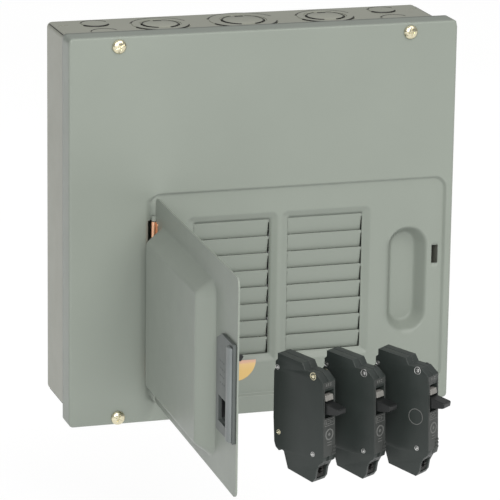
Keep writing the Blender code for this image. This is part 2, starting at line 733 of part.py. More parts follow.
def make_interior():
    """Steel pan, insulating base, two bus bars with stabs, hook rails and main lugs."""
    mid = COLUMN_MID
    back = BOX_INNER_BACK - GAP
    pan_face = back - PAN_STAND
    pan = box("interior_pan", (mid - PAN_HALF, pan_face, INTERIOR_LOW),
              (mid + PAN_HALF, back, INTERIOR_HIGH))
    hollow = box("pan_hollow", (mid - PAN_HALF + SHEET, pan_face + SHEET, INTERIOR_LOW - EPS),
                 (mid + PAN_HALF - SHEET, back + EPS, INTERIOR_HIGH + EPS))
    cut(pan, hollow)
    screw_z = (INTERIOR_LOW + 5 * MM, INTERIOR_HIGH - 5 * MM)
    feet = [((mid - 8 * MM, pan_face + SHEET / 2, z - 4 * MM), (mid + 8 * MM, back, z + 4 * MM))
            for z in screw_z]
    join(pan, boxes("pan_feet", feet))
    base_back = pan_face - GAP
    base_face = base_back - BASE_T
    bores = [((mid, pan_face - EPS, z), "y", PAN_STAND + 2 * EPS, SCREW_R + SCREW_CLEAR)
             for z in screw_z]
    cut(pan, rods("pan_bores", bores, 16))
    finish(pan, STEEL, 0.35, 1.0)
    for name, z in zip(("lower", "upper"), screw_z):
        head = rod("interior_screw_" + name, (mid, pan_face - GAP - 2.4 * MM, z), "y",
                   2.4 * MM, 4.2 * MM, 24)
        join(head, rod("interior_shank_" + name, (mid, pan_face - GAP - MM, z), "y",
                       PAN_STAND - 1.2 * MM, SCREW_R, 16))
        cut(head, box("interior_slot_" + name, (mid - 5 * MM, pan_face - GAP - 4 * MM, z - 0.6 * MM),
                      (mid + 5 * MM, pan_face - GAP - 1.4 * MM, z + 0.6 * MM)))
        finish(head, ZINC, 0.3, 1.0)
    base = box("insulating_base", (mid - BASE_HALF, base_face, INTERIOR_LOW + 12 * MM),
               (mid + BASE_HALF, base_back, INTERIOR_HIGH - 12 * MM))
    channel = BUS_W / 2 + 1.5 * MM
    grooves = [((mid + side * BUS_X - channel, base_face - EPS, INTERIOR_LOW),
                (mid + side * BUS_X + channel, base_face + BUS_GROOVE, INTERIOR_HIGH))
               for side in (-1, 1)]
    cut(base, boxes("bus_grooves", grooves))
    finish(base, BLACK, 0.5)
    bus_back = base_face + BUS_GROOVE - GAP
    bus_face = bus_back - BUS_T
    stab_back = bus_face - 5.5 * MM
    bus_top = ROWS_HIGH + 62 * MM
    for number, (name, side) in enumerate((("left", -1), ("right", 1))):
        x = mid + side * BUS_X
        bus = box("bus_bar_" + name, (x - BUS_W / 2, bus_face, ROWS_LOW + 2 * MM),
                  (x + BUS_W / 2, bus_back, bus_top))
        stabs, risers = [], []
        for row in range(number, ROWS, 2):
            z = ROWS_LOW + (row + 0.5) * ROW_PITCH
            stabs.append(((min(x, mid - side * BUS_X), stab_back - STAB_REACH, z - STAB_T / 2),
                          (max(x, mid - side * BUS_X), stab_back, z + STAB_T / 2)))
            risers.append(((x - 5 * MM, stab_back - 2 * MM, z - 3 * MM),
                           (x + 5 * MM, bus_face + MM, z + 3 * MM)))
        join(bus, boxes("risers_" + name, risers), boxes("stabs_" + name, stabs))
        finish(bus, ALUMINIUM, 0.3, 1.0)
        make_lug("main_lug_" + name, x, bus_face - GAP, bus_top - LUG_H, LUG_W, LUG_H, LUG_D)
        rail_x = mid + side * (BASE_HALF + 6 * MM)
        rail = box("hook_rail_" + name, (rail_x - MM, base_face - 14 * MM, ROWS_LOW),
                   (rail_x + MM, pan_face - GAP, ROWS_HIGH))
        foot = box("rail_foot_" + name, (rail_x - 4.5 * MM, pan_face - GAP - 1.5 * MM, ROWS_LOW),
                   (rail_x + 4.5 * MM, pan_face - GAP, ROWS_HIGH))
        notches = [((rail_x - 3 * MM, base_face - 15 * MM, ROWS_LOW + row * ROW_PITCH - 1.5 * MM),
                    (rail_x + 3 * MM, base_face - 7 * MM, ROWS_LOW + row * ROW_PITCH + 1.5 * MM))
                   for row in range(1, ROWS)]
        join(rail, foot)
        cut(rail, boxes("rail_notches_" + name, notches))
        finish(rail, STEEL, 0.35, 1.0)


def make_lug(name, x, back, z, width, height, depth):
    """Wire lug: block with a wire bore along Z and a set screw from the front."""
    lug = box(name, (x - width / 2, back - depth, z), (x + width / 2, back, z + height))
    bevel(lug, 1.2 * MM, 2)
    mid_y = back - depth / 2
    screw_r = width * 0.22
    cut(lug, rod(name + "_bore", (x, mid_y, z - EPS), "z", height + 2 * EPS, depth * 0.34, 20),
        rod(name + "_tap", (x, back - depth - EPS, z + height / 2), "y", depth / 2 + EPS,
            screw_r + GAP, 20))
    finish(lug, ALUMINIUM, 0.35, 1.0)
    face = back - depth - 1.0 * MM
    screw = rod(name + "_screw", (x, face, z + height / 2), "y", 4.5 * MM, screw_r, 20)
    cut(screw, box(name + "_drive", (x - 2 * screw_r, face - EPS, z + height / 2 - 0.7 * MM),
                   (x + 2 * screw_r, face + 1.6 * MM, z + height / 2 + 0.7 * MM)))
    finish(screw, STEEL, 0.35, 1.0)


NEUTRAL_X = 29.0 * MM       # neutral bar centre from the box's right wall
NEUTRAL_W = 9.0 * MM
NEUTRAL_D = 9.5 * MM
NEUTRAL_HOLES = 14
NEUTRAL_PITCH = 8.4 * MM
STANDOFF_H = 12.0 * MM


def make_neutral():
    """Neutral bar on two insulating standoffs, with its lug and the bonding strap."""
    x = BOX_W / 2 - NEUTRAL_X
    back = BOX_INNER_BACK - GAP
    low = ROWS_LOW + 12 * MM
    length = (NEUTRAL_HOLES + 1) * NEUTRAL_PITCH
    bar_back = back - STANDOFF_H - GAP
    bar = box("neutral_bar", (x - NEUTRAL_W / 2, bar_back - NEUTRAL_D, low),
              (x + NEUTRAL_W / 2, bar_back, low + length))
    middle = bar_back - NEUTRAL_D / 2
    wires = [((x - NEUTRAL_W, middle, low + (i + 1) * NEUTRAL_PITCH), "x", 2 * NEUTRAL_W, 2.1 * MM)
             for i in range(NEUTRAL_HOLES)]
    taps = [((x, bar_back - NEUTRAL_D - EPS, low + (i + 1) * NEUTRAL_PITCH), "y",
             NEUTRAL_D / 2, 1.7 * MM) for i in range(NEUTRAL_HOLES)]
    cut(bar, rods("neutral_wire_holes", wires, 8), rods("neutral_taps", taps, 8))
    finish(bar, ALUMINIUM, 0.35, 1.0)
    for name, z in (("lower", low + 2 * MM), ("upper", low + length - 12 * MM)):
        block = box("neutral_standoff_" + name, (x - 7 * MM, back - STANDOFF_H, z),
                    (x + 7 * MM, back, z + 10 * MM))
        finish(bevel(block, 0.8 * MM), BLACK, 0.5)
    make_lug("neutral_lug", x, bar_back, low + length + 2 * MM, LUG_W, LUG_H, LUG_D)
    strap = box("bonding_strap", (x + NEUTRAL_W / 2 + GAP, bar_back - 2 * MM, low + 20 * MM),
                (x + NEUTRAL_W / 2 + GAP + MM, back, low + 28 * MM))
    foot = box("strap_foot", (x + NEUTRAL_W / 2 + GAP, back - MM, low + 20 * MM),
               (x + NEUTRAL_W / 2 + 11 * MM, back, low + 28 * MM))
    join(strap, foot)
    finish(strap, COPPER, 0.35, 1.0)


# ---- breakers ------------------------------------------------------------------------------
# Side outline, as (depth from the back, height above the base).
BREAKER_PROFILE = (
    (35.0, 0.0), (37.2, 3.2), (38.2, 9.0), (40.6, 13.6), (43.4, 15.6), (44.0, 18.4),
    (42.5, 70.4), (36.8, 75.2), (27.2, 75.8), (24.6, 80.2), (3.0, 82.7), (3.0, 78.6),
    (1.2, 77.0), (1.2, 72.0), (0.0, 70.0), (0.0, 38.0), (1.0, 21.0), (2.4, 17.4),
    (5.2, 15.4), (8.2, 16.6), (9.6, 16.0), (13.4, 4.7))
HANDLE_Z = 52.5 * MM
HANDLE_PIVOT = 6.5 * MM      # behind the face
HANDLE_SLOT = (45.5 * MM, 64.0 * MM)
SEAM = 0.15 * MM

# Corner of each breaker's base, from the cover's bottom left corner, and its turn about Z.
BREAKERS = (
    ("1", 100.4 * MM, -254.3 * MM, radians(31.0)),
    ("2", 135.0 * MM, -256.2 * MM, radians(34.0)),
    ("3", 171.1 * MM, -260.0 * MM, radians(38.0)),
)


def breaker_face_y(height):
    """How far the face stands in front of the back at a height on the face."""
    low, high = BREAKER_PROFILE[5], BREAKER_PROFILE[6]
    share = (height / MM - low[1]) / (high[1] - low[1])
    return (low[0] + share * (high[0] - low[0])) * MM


def make_breaker(tag, x, y, turn):
    """One breaker about its base: its left side is x = 0, its back is y = 0, its face is -Y."""
    anchor_d = BREAKER_PROFILE[0][0] * MM
    base_z = COVER_B + BREAKER_BASE
    place = Vector((COVER_L + x, FRONT + y, base_z))
    back = Vector((anchor_d * sin(-turn), anchor_d * cos(turn), 0))
    stand = pivot("breaker_stand_" + tag, place + back, turn)
    name = "breaker_" + tag
    half_t = BREAKER_T / 2
    profile = [(-d * MM, z * MM) for d, z in BREAKER_PROFILE]
    handle_y = -(breaker_face_y(HANDLE_Z) - HANDLE_PIVOT)
    slot = ((half_t - HANDLE_W / 2 - 0.4 * MM, -50 * MM, HANDLE_SLOT[0]),
            (half_t + HANDLE_W / 2 + 0.4 * MM, handle_y + 6.5 * MM, HANDLE_SLOT[1]))
    terminal = ((half_t - 4.2 * MM, -46 * MM, 2.6 * MM), (half_t + 4.2 * MM, -30.0 * MM, 11.8 * MM))
    clip = ((half_t - 3.2 * MM, -16.0 * MM, 44.0 * MM), (half_t + 3.2 * MM, EPS, 56.0 * MM))
    shaft = ((half_t, -50 * MM, 7.2 * MM), "y", 10 * MM, 3 * MM)
    for side, x0, x1 in (("left", 0.0, half_t - SEAM), ("right", half_t + SEAM, BREAKER_T)):
        case = outline(f"{name}_case_{side}", [profile], x0, x1, "yz")
        cut(case, boxes(f"{name}_room_{side}", [slot, terminal, clip]))
        finish(case, PHENOLIC, 0.45, parent=stand)
    lever = pivot(name + "_lever", (half_t, handle_y, HANDLE_Z))
    lever.parent = stand
    hub = rod(name + "_handle", (-HANDLE_W / 2, 0, 0), "x", HANDLE_W, 5.4 * MM, 28)
    paddle = boxes(name + "_paddle", [((-HANDLE_W / 2, -HANDLE_PIVOT - HANDLE_L, -HANDLE_H / 2),
                                       (HANDLE_W / 2, -2 * MM, HANDLE_H / 2 - 0.4 * MM))])
    bevel(paddle, 0.6 * MM, 2)
    paddle.rotation_euler = (radians(8.0), 0.0, 0.0)
    join(hub, paddle)
    finish(hub, BLACK, 0.35, parent=lever)
    jaw = boxes(name + "_line_clip", [((half_t - 2.4 * MM, -15.4 * MM, 45.0 * MM),
                                       (half_t + 2.4 * MM, -1.0 * MM, 55.0 * MM))])
    cut(jaw, box(name + "_jaw_slot", (half_t - 4 * MM, -11.0 * MM, 48.6 * MM),
                 (half_t + 4 * MM, EPS, 51.4 * MM)))
    finish(jaw, COPPER, 0.35, 1.0, stand)
    lug = box(name + "_load_terminal", (half_t - 3.8 * MM, -36.4 * MM, 3.2 * MM),
              (half_t + 3.8 * MM, -30.5 * MM, 11.2 * MM))
    cut(lug, rod(name + "_wire_bore", (half_t, -33.4 * MM, 0), "z", 14 * MM, 1.8 * MM, 16),
        rod(name + "_screw_bore", (half_t, -38 * MM, 7.2 * MM), "y", 3.4 * MM, 2.0 * MM, 16))
    finish(lug, STEEL, 0.35, 1.0, stand)
    screw = rod(name + "_terminal_screw", (half_t, -38.2 * MM, 7.2 * MM), "y", 3.0 * MM, 1.7 * MM, 16)
    cut(screw, box(name + "_screw_drive", (half_t - 3 * MM, -39 * MM, 6.9 * MM),
                   (half_t + 3 * MM, -37.4 * MM, 7.5 * MM)))
    finish(screw, ZINC, 0.35, 1.0, stand)


# ---- assembly ------------------------------------------------------------------------------
def build():
    make_box()
    make_cover()
    make_sticker()
    for name, x, z, _, _ in screw_places():
        pan_head_screw("cover_screw_" + name, x, z)
    make_hinges()
    swing = pivot("door_swing", (HINGE_X, FRONT, 0.0), -DOOR_OPEN)
    make_door(swing)
    make_hinge_pins(swing)
    make_latch_housing(swing)
    make_latch_slider(swing)
    make_interior()
    make_neutral()
    for tag, x, y, turn in BREAKERS:
        make_breaker(tag, x, y, turn)
    bpy.context.view_layer.update()


build()
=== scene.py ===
"""Visual model of the residential load center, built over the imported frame.

Frame: metres, +Z up, the front faces -Y, origin at the centre of the box's back face.
"""
import json
from math import atan2, cos, pi, radians, sin, sqrt

import bmesh
import bpy
import numpy as np
from mathutils import Matrix, Vector


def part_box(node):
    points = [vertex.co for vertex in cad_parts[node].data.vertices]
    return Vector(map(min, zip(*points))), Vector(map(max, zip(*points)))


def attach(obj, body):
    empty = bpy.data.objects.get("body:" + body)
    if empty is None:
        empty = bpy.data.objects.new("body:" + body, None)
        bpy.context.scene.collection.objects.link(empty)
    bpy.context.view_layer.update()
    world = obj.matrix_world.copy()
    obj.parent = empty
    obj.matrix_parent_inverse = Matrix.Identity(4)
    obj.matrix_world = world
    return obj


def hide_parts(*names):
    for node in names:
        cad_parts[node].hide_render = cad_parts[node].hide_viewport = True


MM = 0.001
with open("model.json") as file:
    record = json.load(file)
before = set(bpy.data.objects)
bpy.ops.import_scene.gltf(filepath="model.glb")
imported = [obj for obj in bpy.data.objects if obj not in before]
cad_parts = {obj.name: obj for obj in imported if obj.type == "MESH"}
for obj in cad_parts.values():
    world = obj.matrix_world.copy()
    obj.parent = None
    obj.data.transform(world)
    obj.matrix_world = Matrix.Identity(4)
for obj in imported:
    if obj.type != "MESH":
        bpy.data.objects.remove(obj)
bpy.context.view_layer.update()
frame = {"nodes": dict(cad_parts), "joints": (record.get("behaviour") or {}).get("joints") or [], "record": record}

# ---- driving sizes ------------------------------------------------------------------------------
SHEET = 1.2 * MM
NOSE_R = 1.7 * MM                # bend between the cover's face and its rim
CORNER_R = 3.2 * MM
POCKET_DEPTH = 2.5 * MM
POCKET_R = 8.0 * MM
POCKET_LIP = 1.6 * MM            # the pocket's wall starts this far outside its edge
POCKET_LEFT = 60.0 * MM          # from the cover's left edge
POCKET_RIGHT_EDGE = 6.5 * MM
POCKET_BOTTOM = 14.6 * MM
POCKET_H = 155.0 * MM
ROW_PITCH = 12.7 * MM
ROWS = 8
COLUMN_W = 57.0 * MM
COLUMN_BAR = 14.3 * MM
COLUMN_OFFSET = 12.7 * MM
ROWS_BOTTOM = 43.8 * MM
TRAY_DEPTH = 3.0 * MM
TRAY_SLOPE = 6.4 * MM
SLAT_TILT = 2.5 * MM
SLAT_LAP = 0.45 * MM             # how far a strip hangs behind the one below it
RECESS_W = 32.6 * MM
RECESS_H = 82.0 * MM
RECESS_DEPTH = 12.0 * MM
RECESS_RUN = 8.3 * MM
RECESS_FROM_RIGHT = 27.1 * MM
RECESS_FROM_BOTTOM = 78.5 * MM
HINGE_FROM_POCKET = 3.0 * MM
HINGE_H = 16.5 * MM
HINGE_INSET = 26.0 * MM
DOOR_MARGIN = 1.0 * MM
DOOR_CORNER_R = 6.0 * MM
DOOR_FACE = 0.9 * MM
DISH_RAISE = 12.0 * MM
DISH_RUN = 12.0 * MM
DISH_BORDERS = (9.0 * MM, 53.0 * MM, 8.4 * MM, 16.0 * MM)   # hinge, free, bottom, top
DISH_R = 14.0 * MM

# ---- places, from the frame --------------------------------------------------------------------
low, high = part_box("cover")
COVER_L, COVER_R, COVER_B, COVER_T = low.x, high.x, low.z, high.z
FRONT, RIM_BACK = low.y, high.y
COLUMN_MID = (COVER_L + COVER_R) / 2 + COLUMN_OFFSET
ROWS_LOW = COVER_B + ROWS_BOTTOM
ROWS_HIGH = ROWS_LOW + ROWS * ROW_PITCH
POCKET = (COVER_L + POCKET_LEFT, COVER_R - POCKET_RIGHT_EDGE,
          COVER_B + POCKET_BOTTOM, COVER_B + POCKET_BOTTOM + POCKET_H)
HINGE_X = POCKET[0] + HINGE_FROM_POCKET
DOOR_B = POCKET[2] + DOOR_MARGIN
DOOR_T = POCKET[3] - DOOR_MARGIN
DOOR_W = POCKET[1] - DOOR_MARGIN - HINGE_X
RECESS_X = POCKET[1] - RECESS_FROM_RIGHT
RECESS_Z = POCKET[2] + RECESS_FROM_BOTTOM
RECESS = (RECESS_X - RECESS_W / 2, RECESS_X + RECESS_W / 2,
          RECESS_Z - RECESS_H / 2, RECESS_Z + RECESS_H / 2)
COLUMNS = ((COLUMN_MID - COLUMN_BAR / 2 - COLUMN_W, COLUMN_MID - COLUMN_BAR / 2),
           (COLUMN_MID + COLUMN_BAR / 2, COLUMN_MID + COLUMN_BAR / 2 + COLUMN_W))
BOLT_SLOT = (POCKET[1] - 8.1 * MM, POCKET[1] - 3.2 * MM,
             POCKET[2] + 89.7 * MM, POCKET[2] + 103.6 * MM)
HINGES = (("upper", DOOR_T - HINGE_INSET), ("lower", DOOR_B + HINGE_INSET))
DOOR_OPEN = radians(91.5)
FACE = (COVER_L + NOSE_R, COVER_R - NOSE_R, COVER_B + NOSE_R, COVER_T - NOSE_R)
LATCH_B = POCKET[2] + 37.4 * MM
TUB_MID = RECESS_X - HINGE_X - 0.9 * MM
LATCH_TUB = (TUB_MID - 9.5 * MM, TUB_MID + 9.5 * MM, LATCH_B + 9.0 * MM, LATCH_B + 66.0 * MM)
TUB_WALL = 1.2 * MM
TUB_DEPTH = 6.5 * MM
LATCH_PLATE = 2.5 * MM
LATCH_BAR = 4.0 * MM
LATCH_PLACE = (DOOR_W - 43.3 * MM, DOOR_W - 1.6 * MM, LATCH_B, LATCH_B + 70.5 * MM)
LATCH_WINDOW = (183.2 * MM, 200.6 * MM, COVER_B + 60.0 * MM, COVER_B + 77.6 * MM)
LATCH_HOLE = (182.7 * MM, LATCH_TUB[1], COVER_B + 59.5 * MM, LATCH_TUB[3])
GAP = 0.3 * MM
BOLT_LOW = BOLT_SLOT[2] + 1.7 * MM
BOLT_H = 7.0 * MM


# ---- materials ---------------------------------------------------------------------------------
class Surface:
    """A node material: a Principled shader and small helpers that feed it."""

    def __init__(self, name, roughness, metallic=0.0, specular=0.5):
        self.mat = bpy.data.materials.new(name)
        self.mat.use_nodes = True
        self.tree = self.mat.node_tree
        self.shader = self.tree.nodes["Principled BSDF"]
        self.shader.inputs["Roughness"].default_value = roughness
        self.shader.inputs["Metallic"].default_value = metallic
        self.shader.inputs["Specular IOR Level"].default_value = specular
        self.coords = self.tree.nodes.new("ShaderNodeTexCoord")

    def link(self, out, into):
        self.tree.links.new(out, into)

    def noise(self, scale, detail=3.0, rough=0.5, stretch=(1, 1, 1)):
        mapping = self.tree.nodes.new("ShaderNodeMapping")
        mapping.inputs["Scale"].default_value = stretch
        self.link(self.coords.outputs["Object"], mapping.inputs["Vector"])
        node = self.tree.nodes.new("ShaderNodeTexNoise")
        node.inputs["Scale"].default_value = scale
        node.inputs["Detail"].default_value = detail
        node.inputs["Roughness"].default_value = rough
        self.link(mapping.outputs["Vector"], node.inputs["Vector"])
        return node.outputs["Fac"]

    def ramp(self, factor, stops):
        node = self.tree.nodes.new("ShaderNodeValToRGB")
        ramp = node.color_ramp
        while len(ramp.elements) < len(stops):
            ramp.elements.new(0.5)
        for element, (place, colour) in zip(ramp.elements, stops):
            element.position = place
            element.color = (*colour, 1.0)
        self.link(factor, node.inputs["Fac"])
        return node.outputs["Color"]

    def math(self, operation, one, two):
        node = self.tree.nodes.new("ShaderNodeMath")
        node.operation = operation
        for socket, value in zip(node.inputs, (one, two)):
            if isinstance(value, (int, float)):
                socket.default_value = value
            else:
                self.link(value, socket)
        return node.outputs["Value"]

    def bump(self, height, strength, distance):
        node = self.tree.nodes.new("ShaderNodeBump")
        node.inputs["Strength"].default_value = strength
        node.inputs["Distance"].default_value = distance
        self.link(height, node.inputs["Height"])
        self.link(node.outputs["Normal"], self.shader.inputs["Normal"])

    def base(self, colour):
        self.link(colour, self.shader.inputs["Base Color"])

    def rough(self, factor, lo, hi):
        node = self.tree.nodes.new("ShaderNodeMapRange")
        node.inputs["To Min"].default_value = lo
        node.inputs["To Max"].default_value = hi
        self.link(factor, node.inputs["Value"])
        self.link(node.outputs["Result"], self.shader.inputs["Roughness"])


def tint(colour, factor):
    return tuple(c * factor for c in colour)


def paint_material(name, colour):
    """Baked enamel: slight mottling, orange peel and a few dust specks."""
    s = Surface(name, 0.36, 0.0, 0.28)
    broad = s.noise(9.0, 4.0)
    s.base(s.ramp(broad, [(0.3, tint(colour, 0.965)), (0.7, tint(colour, 1.03))]))
    s.rough(s.noise(60.0, 4.0), 0.30, 0.42)
    peel = s.noise(620.0, 2.0)
    specks = s.math("GREATER_THAN", s.noise(1500.0, 1.0), 0.74)
    s.bump(s.math("ADD", peel, s.math("MULTIPLY", specks, 0.4)), 0.16, 0.00025)
    return s.mat


def moulded_material(name, colour, roughness, grain=900.0, depth=0.12):
    """Moulded plastic or phenolic: flow mottling and a fine matt grain."""
    s = Surface(name, roughness, 0.0, 0.35)
    flow = s.noise(38.0, 5.0, 0.6, (1, 1, 0.45))
    s.base(s.ramp(flow, [(0.25, tint(colour, 0.8)), (0.75, tint(colour, 1.25))]))
    s.rough(s.noise(90.0, 4.0), roughness - 0.07, roughness + 0.08)
    s.bump(s.noise(grain, 3.0), depth, 0.0003)
    return s.mat


def metal_material(name, colour, roughness, stretch=(1, 1, 1), stain=0.85):
    """Plated or bare metal: brushed grain and slight staining."""
    s = Surface(name, roughness, 1.0)
    cloud = s.noise(120.0, 5.0, 0.6)
    s.base(s.ramp(cloud, [(0.3, tint(colour, stain)), (0.7, colour)]))
    s.rough(s.noise(400.0, 3.0, 0.5, stretch), roughness - 0.08, roughness + 0.1)
    s.bump(s.noise(1100.0, 2.0, 0.5, stretch), 0.08, 0.0002)
    return s.mat


def label_material():
    """Paper label: yellow with a pinkish upper edge and paper fibre."""
    s = Surface("label", 0.6)
    split = s.tree.nodes.new("ShaderNodeSeparateXYZ")
    s.link(s.coords.outputs["Generated"], split.inputs["Vector"])
    fade = s.math("ADD", split.outputs["Z"], s.math("MULTIPLY", s.noise(70.0, 3.0), 0.12))
    s.base(s.ramp(fade, [(0.55, (0.60, 0.405, 0.150)), (0.86, (0.62, 0.43, 0.19)),
                         (0.98, (0.56, 0.34, 0.25))]))
    s.bump(s.noise(1300.0, 4.0), 0.1, 0.0001)
    return s.mat


PAINT = paint_material("paint", (0.222, 0.246, 0.216))
BOX_PAINT = paint_material("box_paint", (0.272, 0.280, 0.236))
PHENOLIC = moulded_material("phenolic", (0.019, 0.024, 0.022), 0.42)
FACE_PHENOLIC = moulded_material("face_phenolic", (0.036, 0.039, 0.037), 0.48)
MARKS = moulded_material("rubbed_marks", (0.105, 0.108, 0.103), 0.5)
# painted shade: near-black steel for strips in the knockout gaps and along the box's corner folds
PAINTED_SHADE_STEEL = metal_material("painted_shade_steel", (0.10, 0.10, 0.095), 0.55)
# painted shade: terminal metal darkened so the wire mouths read as shaded
SHADED_TERMINAL = metal_material("terminal_painted_shade", (0.05, 0.05, 0.048), 0.5)
BLACK = moulded_material("black_plastic", (0.009, 0.010, 0.010), 0.34)
LATCH = moulded_material("latch_plastic", (0.076, 0.086, 0.083), 0.36)
# painted highlight: the latch plastic at about twice its brightness, for the raised grip bar and ramp
LATCH_PAINTED_HIGHLIGHT = moulded_material("latch_painted_highlight", (0.150, 0.165, 0.164), 0.34)
GREY_BLOCK = moulded_material("indicator_grey", (0.185, 0.18, 0.168), 0.5)
ZINC = metal_material("zinc", (0.74, 0.69, 0.50), 0.24)
STEEL = metal_material("steel", (0.56, 0.56, 0.55), 0.34, (1, 1, 6))
ALUMINIUM = metal_material("aluminium", (0.78, 0.78, 0.79), 0.3, (1, 1, 6))
COPPER = metal_material("copper", (0.82, 0.47, 0.30), 0.22, (1, 1, 8))
LABEL = label_material()
SLOTS = {"paint": PAINT, "phenolic": PHENOLIC, "black_plastic": BLACK, "latch_plastic": LATCH,
         "zinc": ZINC, "steel": STEEL, "aluminium": ALUMINIUM, "copper": COPPER, "label": LABEL}


# ---- mesh helpers --------------------------------------------------------------------------------
def add_piece(name, verts, faces, material, body="root", smooth=35):
    mesh = bpy.data.meshes.new(name)
    mesh.from_pydata([tuple(v) for v in verts], [], faces)
    mesh.validate()
    mesh.materials.append(material)
    bm = bmesh.new()
    bm.from_mesh(mesh)
    bmesh.ops.recalc_face_normals(bm, faces=bm.faces)
    bm.to_mesh(mesh)
    bm.free()
    return place_piece(name, mesh, body, smooth)


def place_piece(name, mesh, body, smooth=35):
    mesh.shade_smooth()
    mesh.set_sharp_from_angle(angle=radians(smooth))
    obj = bpy.data.objects.new(name, mesh)
    bpy.context.scene.collection.objects.link(obj)
    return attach(obj, body)


def solidify(obj, thickness, offset=-1.0):
    mod = obj.modifiers.new("sheet", "SOLIDIFY")
    mod.thickness = thickness
    mod.offset = offset
    mod.use_even_offset = True


def bevel(obj, width, segments=2, angle=35):
    mod = obj.modifiers.new("bevel", "BEVEL")
    mod.width = width
    mod.segments = segments
    mod.limit_method = "ANGLE"
    mod.angle_limit = radians(angle)
    mod.harden_normals = True


def soft_ramp(t, fillet=0.25):
    """0 below t = 0, 1 above t = 1, straight in the middle with round ends."""
    t = np.clip(t, 0.0, 1.0)
    k = fillet
    rise = t * t / (2 * k * (1 - k))
    fall = 1 - (1 - t) ** 2 / (2 * k * (1 - k))
    straight = (t - k / 2) / (1 - k)
    return np.where(t < k, rise, np.where(t > 1 - k, fall, straight))


def inside(x, z, rect, radius):
    """How far (x, z) lies inside a rectangle with round corners; negative outside."""
    cx, cz = (rect[0] + rect[1]) / 2, (rect[2] + rect[3]) / 2
    hx, hz = (rect[1] - rect[0]) / 2 - radius, (rect[3] - rect[2]) / 2 - radius
    dx, dz = np.abs(x - cx) - hx, np.abs(z - cz) - hz
    outer = np.hypot(np.maximum(dx, 0), np.maximum(dz, 0))
    return radius - outer - np.minimum(np.maximum(dx, dz), 0)


def stamp(x, z, rect, radius, run, fillet=0.25):
    """Share of full depth of a stamped recess whose wall has that run."""
    return soft_ramp(inside(x, z, rect, radius) / run, fillet)


def grid_lines(start, stop, marks, coarse, fine, reach):
    """Sorted places from start to stop: fine near each (mark, half width), coarse elsewhere."""
    places = [start]
    exact = sorted(m for m, half in marks if half == 0 and start < m < stop)
    here = start
    while here < stop - 1e-9:
        near = any(abs(here - m) < half + reach for m, half in marks if half > 0)
        step = fine if near else coarse
        ahead = [m - half - reach for m, half in marks if half > 0 and m - half - reach > here + 1e-9]
        if not near and ahead:
            step = min(step, max(min(ahead) - here, fine))
        here = min(here + step, stop)
        places.append(here)
    for mark in exact:
        nearest = min(range(1, len(places) - 1), key=lambda i: abs(places[i] - mark))
        places[nearest] = mark
    return np.array(sorted(set(round(p, 7) for p in places)))


def round_corners(x, z, rect, radius):
    """Moves grid points so that the rectangle's outline gets round corners."""
    x, z = x.copy(), z.copy()
    for sx, cx in ((-1, rect[0] + radius), (1, rect[1] - radius)):
        for sz, cz in ((-1, rect[2] + radius), (1, rect[3] - radius)):
            a = np.clip((x - cx) * sx / radius, 0, 1)
            b = np.clip((z - cz) * sz / radius, 0, 1)
            both = (a > 0) & (b > 0)
            x = np.where(both, cx + sx * radius * a * np.sqrt(1 - b * b / 2), x)
            z = np.where(both, cz + sz * radius * b * np.sqrt(1 - a * a / 2), z)
    return x, z


def in_hole(x, z, holes):
    return any(h[0] < x < h[1] and h[2] < z < h[3] for h in holes)


def stamped_sheet(rect, us, vs, height, corner, holes, rings):
    """A sheet over a grid with a height function, holes and rings bent back from its outline.

    rings is a list of (outward step, y step) from the outline, for the bend and the rim.
    """
    u, v = np.meshgrid(us, vs, indexing="ij")
    x, z = round_corners(u, v, rect, corner)
    y = height(x, z)
    nu, nv = len(us), len(vs)
    verts = [(x[i, j], y[i, j], z[i, j]) for i in range(nu) for j in range(nv)]
    faces = []
    for i in range(nu - 1):
        for j in range(nv - 1):
            if in_hole((us[i] + us[i + 1]) / 2, (vs[j] + vs[j + 1]) / 2, holes):
                continue
            faces.append((i * nv + j, (i + 1) * nv + j, (i + 1) * nv + j + 1, i * nv + j + 1))
    edge = ([(i, 0) for i in range(nu - 1)] + [(nu - 1, j) for j in range(nv - 1)]
            + [(i, nv - 1) for i in range(nu - 1, 0, -1)] + [(0, j) for j in range(nv - 1, 0, -1)])
    loop = [i * nv + j for i, j in edge]
    outward = []
    for i, j in edge:
        px, pz = x[i, j], z[i, j]
        cx = min(max(px, rect[0] + corner), rect[1] - corner)
        cz = min(max(pz, rect[2] + corner), rect[3] - corner)
        length = max(sqrt((px - cx) ** 2 + (pz - cz) ** 2), 1e-9)
        outward.append(((px - cx) / length, (pz - cz) / length))
    count = len(loop)
    previous = loop
    for out, back in rings:
        ring = []
        for index, (nx, nz) in zip(loop, outward):
            ring.append(len(verts))
            bx, by, bz = verts[index]
            verts.append((bx + nx * out, by + back, bz + nz * out))
        for k in range(count):
            m = (k + 1) % count
            faces.append((previous[k], previous[m], ring[m], ring[k]))
        previous = ring
    return verts, faces


def nose_rings(radius, rim, steps=6, bays=5):
    """Ring steps for a bend of that radius and a straight rim behind it."""
    rings = []
    for k in range(1, steps + 1):
        a = k / steps * pi / 2
        rings.append((radius * sin(a), radius * (1 - cos(a))))
    for k in range(1, bays + 1):
        rings.append((radius, radius + (rim - radius) * k / bays))
    return rings


